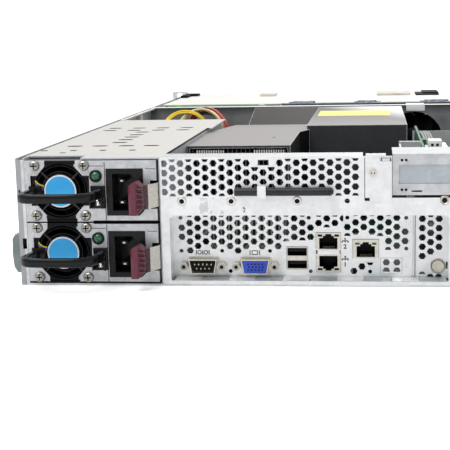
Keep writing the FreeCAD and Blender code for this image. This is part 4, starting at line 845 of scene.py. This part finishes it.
def jack_parts():
    """Tongues of the USB mouths, lamps and contacts of the network jacks."""
    low, high = extent("usb_ports")
    x0, x1 = low.x, high.x
    boxes("usb_tongues", "black", [(x0 + 1.3, PLATE + 0.6, z, x1 - 1.3, PLATE + 10, z + 1.9) for z in (11, 19.4)])
    lips = [(x0 + 0.5, PLATE - 0.75, z, x1 - 0.5, PLATE - 0.4, z + tall)
            for z, tall in ((8.15, 0.35), (13.6, 0.3), (16.55, 0.35), (22, 0.3))]
    boxes("usb_lips", "port_nickel", lips, 0.08)
    front = extent("lan_jacks")[0].y
    lamps, windows, contacts = [], [], []
    # place of each jack; way is 1 when its lamps are at the top
    for x, z, way, lights in ((-22.1, 25, 1, windows), (-22.1, 13.2, -1, windows), (2, 19.7, 1, lamps)):
        for cx in (x - 5.4, x + 5.4):
            cz = z + way * 5.2
            lights.append((cx - 1.5, front - 0.12, cz - 0.75, cx + 1.5, front + 0.4, cz + 0.75))
        for cx in row(x - 3.5 * 1.02, 1.02, 8):
            cz = z - way * 3.3
            contacts.append((cx - 0.18, front + 5, cz - 0.25, cx + 0.18, front + 11, cz + 0.25))
    boxes("network_lamps", "led_green", lamps, 0.1)
    boxes("network_windows", "black", windows, 0.1)
    boxes("network_contacts", "gold", contacts, 0.05)


def uid_rim():
    low, high = extent("rear_uid_button")
    profile = [(-0.2, 4.9), (0.9, 4.9), (1.3, 4.6), (1.1, 4.25), (-0.2, 4.2)]
    lathes("uid_rim", "port_nickel", [middle(low, high, PLATE)], profile, 36)


# ---- sheet metal marks ----
def pressed_marks():
    """Small pressed dots of the top flange, slits and fold lines of the cage roof."""
    top, roof = extent("rear_panel")[1].z, CAGE[1].z
    dots = [(x, 16.5, top) for x in (-123.4, -101.2, -78.3, -56.2, -34, -12)]
    lathes("flange_dots", "red_dot", dots, disc(0.9, 0.05, 0.02), 14, axis=UP)
    # painted shade in the roof's slits
    slits = [(x - 2.2, 43, roof - 0.2, x + 2.2, 48, roof + 0.05) for x in (-217, -196.5, -176, -155.5)]
    slits.append((-202, 30, roof - 0.2, -198.5, 34, roof + 0.05))
    boxes("roof_slits", "ink", slits, 0.02)
    boxes("roof_folds", "blank_sheet", [(-219, y, roof, -139, y + 0.5, roof + 0.08) for y in (29, 16.5)], 0.03)


def beam_rings():
    """Raised bright rings of the threaded holes in the beam above the port plate."""
    places = [(x, 0, 55.4) for x in (-114.6, -82.9, -40.9, 51)]
    ring = [(-0.2, 3.1), (0.25, 3), (0.45, 2.6), (0.3, 2.1), (0.05, 1.9)]
    core = [(-0.2, 1.7), (0.12, 1.7), (0.14, 1.5)]
    lathes("beam_hole_rings", "port_nickel", places, ring)
    # painted shade in the holes' cores
    lathes("beam_hole_cores", "ink", places, core, 24)


def slabs(items, near=PLATE - 0.05, far=PLATE + 0.1):
    """Boxes between two depths, as a rule just proud of the port plate, from (x, z, width, height)."""
    return [(x, near, z, x + width, far, z + height) for x, z, width, height in items]


def port_marks():
    """Plain signs printed over the ports: serial bars and rings, a screen outline, a network tree."""
    bars = [(x, 17.3, 0.6, 3) for x in (-109.1, -104.9, -100.7)]
    ring = [(0, 1.45), (0.15, 1.45), (0.15, 0.9), (0, 0.9)]
    lathes("serial_rings", "ink", [(x, PLATE + 0.1, 18.8) for x in (-106.7, -102.5)], ring, 20)
    bars += [(-72.2, 17.2, 0.5, 3), (-68.7, 17.2, 0.5, 3), (-72.2, 17.2, 4, 0.5), (-72.2, 19.7, 4, 0.5),
             (-73.6, 17.2, 0.6, 3), (-67.4, 17.2, 0.6, 3)]
    for z in (25.7, 13.9):
        bars += [(-13.1, z + 0.9, 3.8, 0.4), (-11.5, z + 0.9, 0.5, 1.3), (-11.8, z + 1.9, 1.1, 0.8)]
        bars += [(x, z - 0.1, 1.1, 0.8) for x in (-13.6, -11.8, -10)]
    boxes("port_signs", "ink", slabs(bars), 0.02)
    frame_lines = [(11.4, 4.7, 14, 0.25), (11.4, 15.3, 14, 0.25), (11.4, 4.7, 0.25, 10.8), (25.15, 4.7, 0.25, 10.8)]
    boxes("port_frame_lines", "wire_grey", slabs(frame_lines), 0.02)
    boxes("lip_label", "label_white", [(-15, -0.12, 0.4, 30, 0.1, 2.9)], 0.04)


def plate_strips():
    """Folded strips of the port plate in front of the jacks' frames, and its double fold, with painted shade along
    two lines and a painted highlight on its crest.
    """
    strips = [(-30.2, 17.9, 16.2, 2.9), (-30.4, 17.2, 1.5, 4.4), (-15, 17.2, 1.2, 4.4), (-6.4, 13.4, 17, 2)]
    boxes("jack_strips", "port_sheet", slabs(strips, PLATE - 1, PLATE - 0.05), 0.15)
    # painted shade along the double fold
    boxes("plate_fold_lines", "wire_black", slabs([(31.1, 4, 0.7, 43), (33, 4, 0.7, 43)], PLATE - 0.7), 0.03)
    # painted highlight on the fold's raised crest
    crest = slabs([(31.7, 4, 1.4, 43)], PLATE - 0.9) + slabs([(31.5, 3.4, 1.7, 0.8)], PLATE - 0.3)
    boxes("plate_fold_crest", "label_white", crest, 0.2)


def recess_floor():
    """Bright and blue-grey contact strips in turn on the floor of the port recess."""
    strips = [(x, 1.2, 1.2, min(x + BAND - 0.3, 53), 15.4, 3.25) for x in row(-121.4, BAND, 10)]
    boxes("recess_strips_bright", "port_sheet", strips[::2])
    boxes("recess_strips_dull", "blank_sheet", strips[1::2])


def bracket_details():
    """Raised rib, painted shadow lines along the rib and the bracket's left and bottom edges, two holes of the folded
    top tab and the pan screw of the riser bracket.
    """
    face = -0.8
    rib = slabs([(12.4, 57, 4.8, 25)], face - 0.9, face + 0.3) + slabs([(13.2, 58, 3.2, 23)], face - 1.1, face)
    boxes("bracket_rib", "rear_sheet", rib, 0.5)
    # painted shadow lines beside the rib and along the bracket's left and bottom edges
    shadow_lines = [(11.7, 56.6, 0.5, 25.8), (17.3, 56.6, 0.5, 25.8), (1.6, 55.3, 3, 1.9), (1.4, 56, 0.4, 26.6)]
    boxes("bracket_shadow_lines", "ink", slabs(shadow_lines, face - 0.06, face + 0.1), 0.04)
    top = extent("riser_bracket")[1].z
    # painted shade in the tab's two holes
    lathes("bracket_holes", "ink", [(x, 8.4, top - 0.05) for x in (5.2, 9.2)], disc(1, 0.1, 0.03), 18, axis=UP)
    low, high = extent("panel_screws")
    x, y, z = middle(low, high, low.y + 0.05)
    # painted shade in the screw's two recesses
    boxes("pan_screw_slots", "ink",
          [(x + dx - 0.32, y - 0.15, z - 0.4, x + dx + 0.32, y + 0.3, z + 0.4) for dx in (-0.9, 0.9)], 0.03)


# ---- front ----
def front_details():
    """Lamps, grips and ribs of the drive faces, slats of the blanks and lamps of the control module."""
    slats = []
    blank_face = extent("drive_blanks")[1].y
    for bay in range(1, 5):
        low, high = extent(f"drive_carrier_{bay}")
        x, y = high.x - 3, high.y
        body = f"carrier_{bay}"
        boxes(f"{body}_lamps", "led_green",
              [(x - 0.9, y - 0.3, low.z + z, x + 0.9, y + 0.25, low.z + z + 2.2) for z in (15.5, 19)], 0.3, body)
        boxes(f"{body}_grips", "carrier",
              [(low.x + 1.4, y - 0.3, z, low.x + 3.6, y + 0.3, z + 0.8) for z in row(low.z + 4, 1.7, 10)], 0.25, body)
        corner, end = extent(f"drive_lever_{bay}")
        boxes(f"lever_{bay}_ribs", "burgundy",
              [(x - 0.7, end.y - 0.4, corner.z + 1.2, x, end.y + 0.3, corner.z + 3.4)
               for x in row(end.x - 3.9, -1.5, 6)], 0.2, f"lever_{bay}")
        centre = (low.x + high.x) / 2
        for base in (low.z + 26.4, low.z + 52.8):
            for x in (centre - 23.5, centre + 23.5):
                slats += [(x - 21.8, blank_face - 4.2, z - 0.45, x + 21.8, blank_face - 2.2, z + 0.45)
                          for z in row(base + 8.6, 3.9, 3)]
    boxes("blank_slats", "dull_black", slats)
    low, high = extent("control_module")
    lamps = [(low.x + 6.4, high.y - 0.9, z, low.x + 10.4, high.y - 0.1, z + 1.6) for z in (20.2, 25.2, 30.2)]
    boxes("control_lamps", "led_green", lamps, 0.3)


# ---- inside ----
def cooler_fins():
    """Bare fins of the chip cooler behind the port plate, and fin tips in the mouth of the duct, bright with painted
    light.
    """
    chip = [(-103, 44, 15.2, -50, 70, 17.6)] + [(x, 44, 16, x + 0.9, 70, 45) for x in row(-101.6, 2.64, 19)]
    boxes("chip_cooler", "rear_fins", chip, 0.1)
    tips = row(-121, 1.75, 12) + row(-79, 1.75, 13)
    boxes("cooler_fin_tips", "fin_tips", [(x, 103.6, 73.6, x + 0.85, 106.6, 76.3) for x in tips], 0.15)


def duct_details():
    """Bare label and latch pins on the air duct."""
    boxes("duct_label", "label_yellow", [(-44, 322, DUCT_TOP - 0.05, 21.5, 380, DUCT_TOP + 0.15)], 0.05)
    lathes("duct_pins", "white_plastic", [(-66.5, 160, 76), (-64, 160, 76)], [disc(1.1, 1), disc(0.7, 0.8)], 16,
           axis=UP)


LEADS = {  # colour: how many, radius, path
    "yellow": (5, 1.05, (
        (-192, 228, 40), (-196, 250, 40), (-197, 330, 52), (-195, 372, 74), (-189, 384, 81.6), (-180, 390, 84.4),
        (-168, 394, 82.6), (-158, 398, 72), (-152, 420, 50), (-150, 440, 44))),
    "cream": (3, 1, (
        (-185, 228, 40), (-186, 250, 40), (-186, 350, 56), (-181, 384, 76), (-174, 394, 83), (-165, 400, 85.2),
        (-156, 404, 83.6), (-147, 404, 77), (-141, 402, 66), (-138, 425, 46), (-138, 440, 42))),
    "red": (3, 1, (
        (-177, 228, 40), (-176, 260, 40), (-176, 370, 60), (-173, 398, 79), (-166, 408, 84.6), (-158, 412, 85.6),
        (-149, 410, 82), (-141, 404, 74), (-135, 400, 60), (-131, 430, 44), (-131, 440, 40))),
    "black": (5, 1.1, (
        (-182, 228, 38), (-182, 270, 36), (-182, 370, 50), (-176, 400, 72), (-168, 410, 80), (-160, 414, 81.6),
        (-152, 414, 79.5), (-145, 414, 70), (-140, 430, 48), (-140, 440, 44))),
}


def power_leads():
    """Leads from the supplies' board arching over to the fan side, in their colours, and their plugs."""
    shifts = ((0, 0, 0), (1.2, 2.2, -0.5), (-1.4, 4, -0.6), (0.8, -2.2, -1.6), (-0.6, 6, -1.4))
    for colour, (count, radius, path) in LEADS.items():
        for i, (dx, dy, dz) in enumerate(shifts[:count]):
            points = [(x + dx, y + dy, z + dz) for x, y, z in path]
            wire(f"lead_{colour}_{i + 1}", f"wire_{colour}", points, radius)
    plugs = [(-200, 219.6, 34, -170, 232, 46), (-156, 432, 36, -126, 440.9, 52)]
    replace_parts(boxes("lead_plugs", "white_plastic", plugs, 0.8), "psu_cables")


def top_details():
    """Edge of the power board, seals and lead sleeves at the drive cage, and the cage's small fittings."""
    boxes("power_board_edge", "board_edge",
          [(-208, 462, 82.6, -112, 465.4, 84.5), (-199, 461, 82.6, -193, 462.4, 83.6)])
    boxes("wall_seal", "grey_plastic", [(-90, 470.5, 83, 215, 482.5, 84.3), (-90, 483.6, 82, 215, 485, 83.4)], 0.4)
    sleeves = [(x, length, shift) for x, length in ((-82, 24), (-14, 20), (54, 26), (120, 20)) for shift in (0, 3.6)]
    lathes("lead_sleeves", "braid", [(x + shift, 476 + shift * 2, 83.9 + shift / 12) for x, _, shift in sleeves],
           [[(0, 1), (0.8, 1.9), (length - 0.8, 1.9), (length, 1)] for _, length, _ in sleeves], 16, axis=ACROSS)
    boxes("cage_hook", "dull_black", [(-218, 600, 83.4, -210, 640, 86.2), (-218, 630, 83.4, -202, 646, 86.2)], 0.6)
    boxes("cage_fittings", "beige", [(10, 600, 83.3, 48, 650, 86), (-126, 610, 83.3, -108, 640, 86.2)], 0.8)
    boxes("cage_latch", "dull_black", [(54, 596, 83.3, 80, 640, 85), (62, 606, 84.6, 80, 652, 86.3)], 0.7)
    boxes("wall_tabs", "label_white",
          [(39, 440.4, 77.5, 57.5, 462, 84), (-221.6, 372, 76, -218, 382, 83.6),
           (-221.6, 300, 76, -219, 306, 83.6)], 0.5)


def riser_details():
    """Socket, ribbon and small marks of the riser assembly."""
    boxes("riser_socket", "white_plastic", [(44, 66, 78.5, 53, 82, 85.9), (42.5, 82, 77.5, 58, 112, 80)], 0.5)
    # painted shade in the socket's two holes
    boxes("riser_socket_holes", "ink", [(x, 65.8, 82.2, x + 1.7, 67, 83.9) for x in (45.6, 49)], 0.1)
    path = ((4, 112, 72), (3.4, 124, 79.5), (2, 146, 83.6), (0.6, 176, 82), (0, 206, 73), (0, 236, 60))
    for i, x in enumerate(row(40, 0.95, 8)):
        paint = ("wire_black", "wire_grey")[i % 2]
        wire(f"ribbon_{i + 1}", paint, [(x + dx, y, z) for dx, y, z in path], 0.45)
    face = extent("riser_cage")[0].y - 0.3
    marks = [(x, face, z) for z in (62.2, 80.8) for x in (24.6, 27.2)]
    lathes("riser_face_marks", "ink", marks, disc(0.85, 0.12, 0.04), 16)


def board_parts():
    """What the main board carries in the open areas: sockets, coils, capacitors and chips."""
    floor = 4.3
    places = row(92, 9.6, 8)
    sockets = [(x, 226, floor, x + 6.2, 316, floor + 8) for x in places]
    latches = [(x + 0.6, y, floor, x + 5.6, y + 4, floor + 15) for x in places for y in (221.5, 316.5)]
    chips = [(x, y, floor - 0.2, x + wide, y + deep, floor + tall) for x, y, wide, deep, tall in (
        (182, 30, 16, 16, 3), (184, 60, 12, 12, 2.2), (186, 90, 14, 20, 2.6), (184, 130, 18, 18, 3.2),
        (186, 170, 10, 14, 2), (96, 20, 14, 10, 2.5), (120, 22, 10, 10, 2), (150, 24, 16, 12, 2.2))]
    can = [(0, 3.6), (9.6, 3.6), (10, 3.2), (9.8, 2.6)]
    cans = [(66 + i * 3.2, 232 + (i % 2) * 9 + i * 10, floor) for i in range(7)]
    coils = [(46 + i * 0.6, 222 + i * 18, floor, 56 + i * 0.6, 232 + i * 18, floor + 7) for i in range(5)]
    boxes("memory_sockets", "dull_black", sockets, 0.4)
    boxes("memory_latches", "white_plastic", latches, 0.5)
    boxes("board_chips", "black", chips, 0.25)
    lathes("board_capacitors", "spring_steel", cans, can, 20, axis=UP)
    boxes("board_coils", "grey_plastic", coils, 0.8)


# ---- stage, lights and camera ----
def stage():
    """White floor that glows a little to the eye and keeps the shadow."""
    reach, glow = 8, 0.42
    mesh = bpy.data.meshes.new("floor")
    corners = [(-reach, -reach, 0), (reach, -reach, 0), (reach, reach, 0), (-reach, reach, 0)]
    mesh.from_pydata(corners, [], [(0, 1, 2, 3)])
    floor = new_object("floor", mesh)
    floor.location.z = -0.2 * MM
    material = bpy.data.materials.new("floor_white")
    tree = Nodes(material)
    strength = tree.times(tree.out("LightPath", output="Is Camera Ray"), glow)
    diffuse = tree.out("BsdfDiffuse", ((0.86, 0.86, 0.87),))
    both = tree.out("AddShader", (diffuse, tree.out("Emission", ((1, 1, 1), strength))))
    tree.node("OutputMaterial", (both,))
    mesh.materials.append(material)


def world():
    """White to the eye, softer as light, and brighter from ahead of the unit than from behind it."""
    near, far = 0.5, 1
    sky = bpy.data.worlds.new("studio")
    bpy.context.scene.world = sky
    tree = Nodes(sky)
    depth = tree.out("SeparateXYZ", (tree.out("TexCoord", output="Generated"),), 1)
    spread = tree.remap(depth, -0.7, 0.7, near, far)
    camera_ray = tree.out("LightPath", output="Is Camera Ray")
    strength = tree.out("Mix", {0: camera_ray, 2: spread, 3: 1}, data_type="FLOAT")
    tree.node("OutputWorld", (tree.out("Background", ((1, 1, 1), strength)),))


def lamp(name, place, target, size, power):
    """Area lamp; place, target and size are in metres."""
    data = bpy.data.lights.new(name, "AREA")
    data.shape = "RECTANGLE"
    data.size, data.size_y = size
    data.energy = power
    piece = new_object(name, data)
    piece.location = place
    piece.rotation_euler = (Vector(target) - Vector(place)).to_track_quat("-Z", "Y").to_euler()


def camera():
    """Long lens just behind the unit, a little above it, looking forward along it."""
    matrix = Matrix.Translation(spot((8.14, -696.37, 164.29)))
    for axis, degrees in (("Z", 6.625), ("X", 90 - 10.063), ("Z", -1.178)):  # heading, tilt down, roll
        matrix = matrix @ Matrix.Rotation(radians(degrees), 4, axis)
    data = bpy.data.cameras.new("camera")
    data.lens = 89.43
    data.sensor_width = 36
    data.shift_x = -0.05
    data.clip_start = 0.05
    data.clip_end = 60
    piece = new_object("camera", data)
    piece.matrix_world = matrix
    bpy.context.scene.camera = piece


def build():
    coat_nodes()
    rotors()
    for body in SUPPLIES:
        for make in (psu_fan, psu_face, psu_handle, psu_screws):
            make(body)
    for make in (numerals, d_ports, jack_parts, uid_rim, pressed_marks, beam_rings, port_marks, plate_strips,
                 recess_floor, bracket_details, front_details, cooler_fins, duct_details, power_leads, top_details,
                 riser_details, board_parts):
        make()


build()
stage()
world()
lamp("key", (-0.7, -0.9, 1.5), (-0.1, -0.2, 0), (1.2, 1.2), 20)
lamp("rim", (0.5, 1.6, 1.3), (0, 0, 0), (1.6, 1), 12)
camera()
bpy.context.scene.view_settings.view_transform = "Standard"
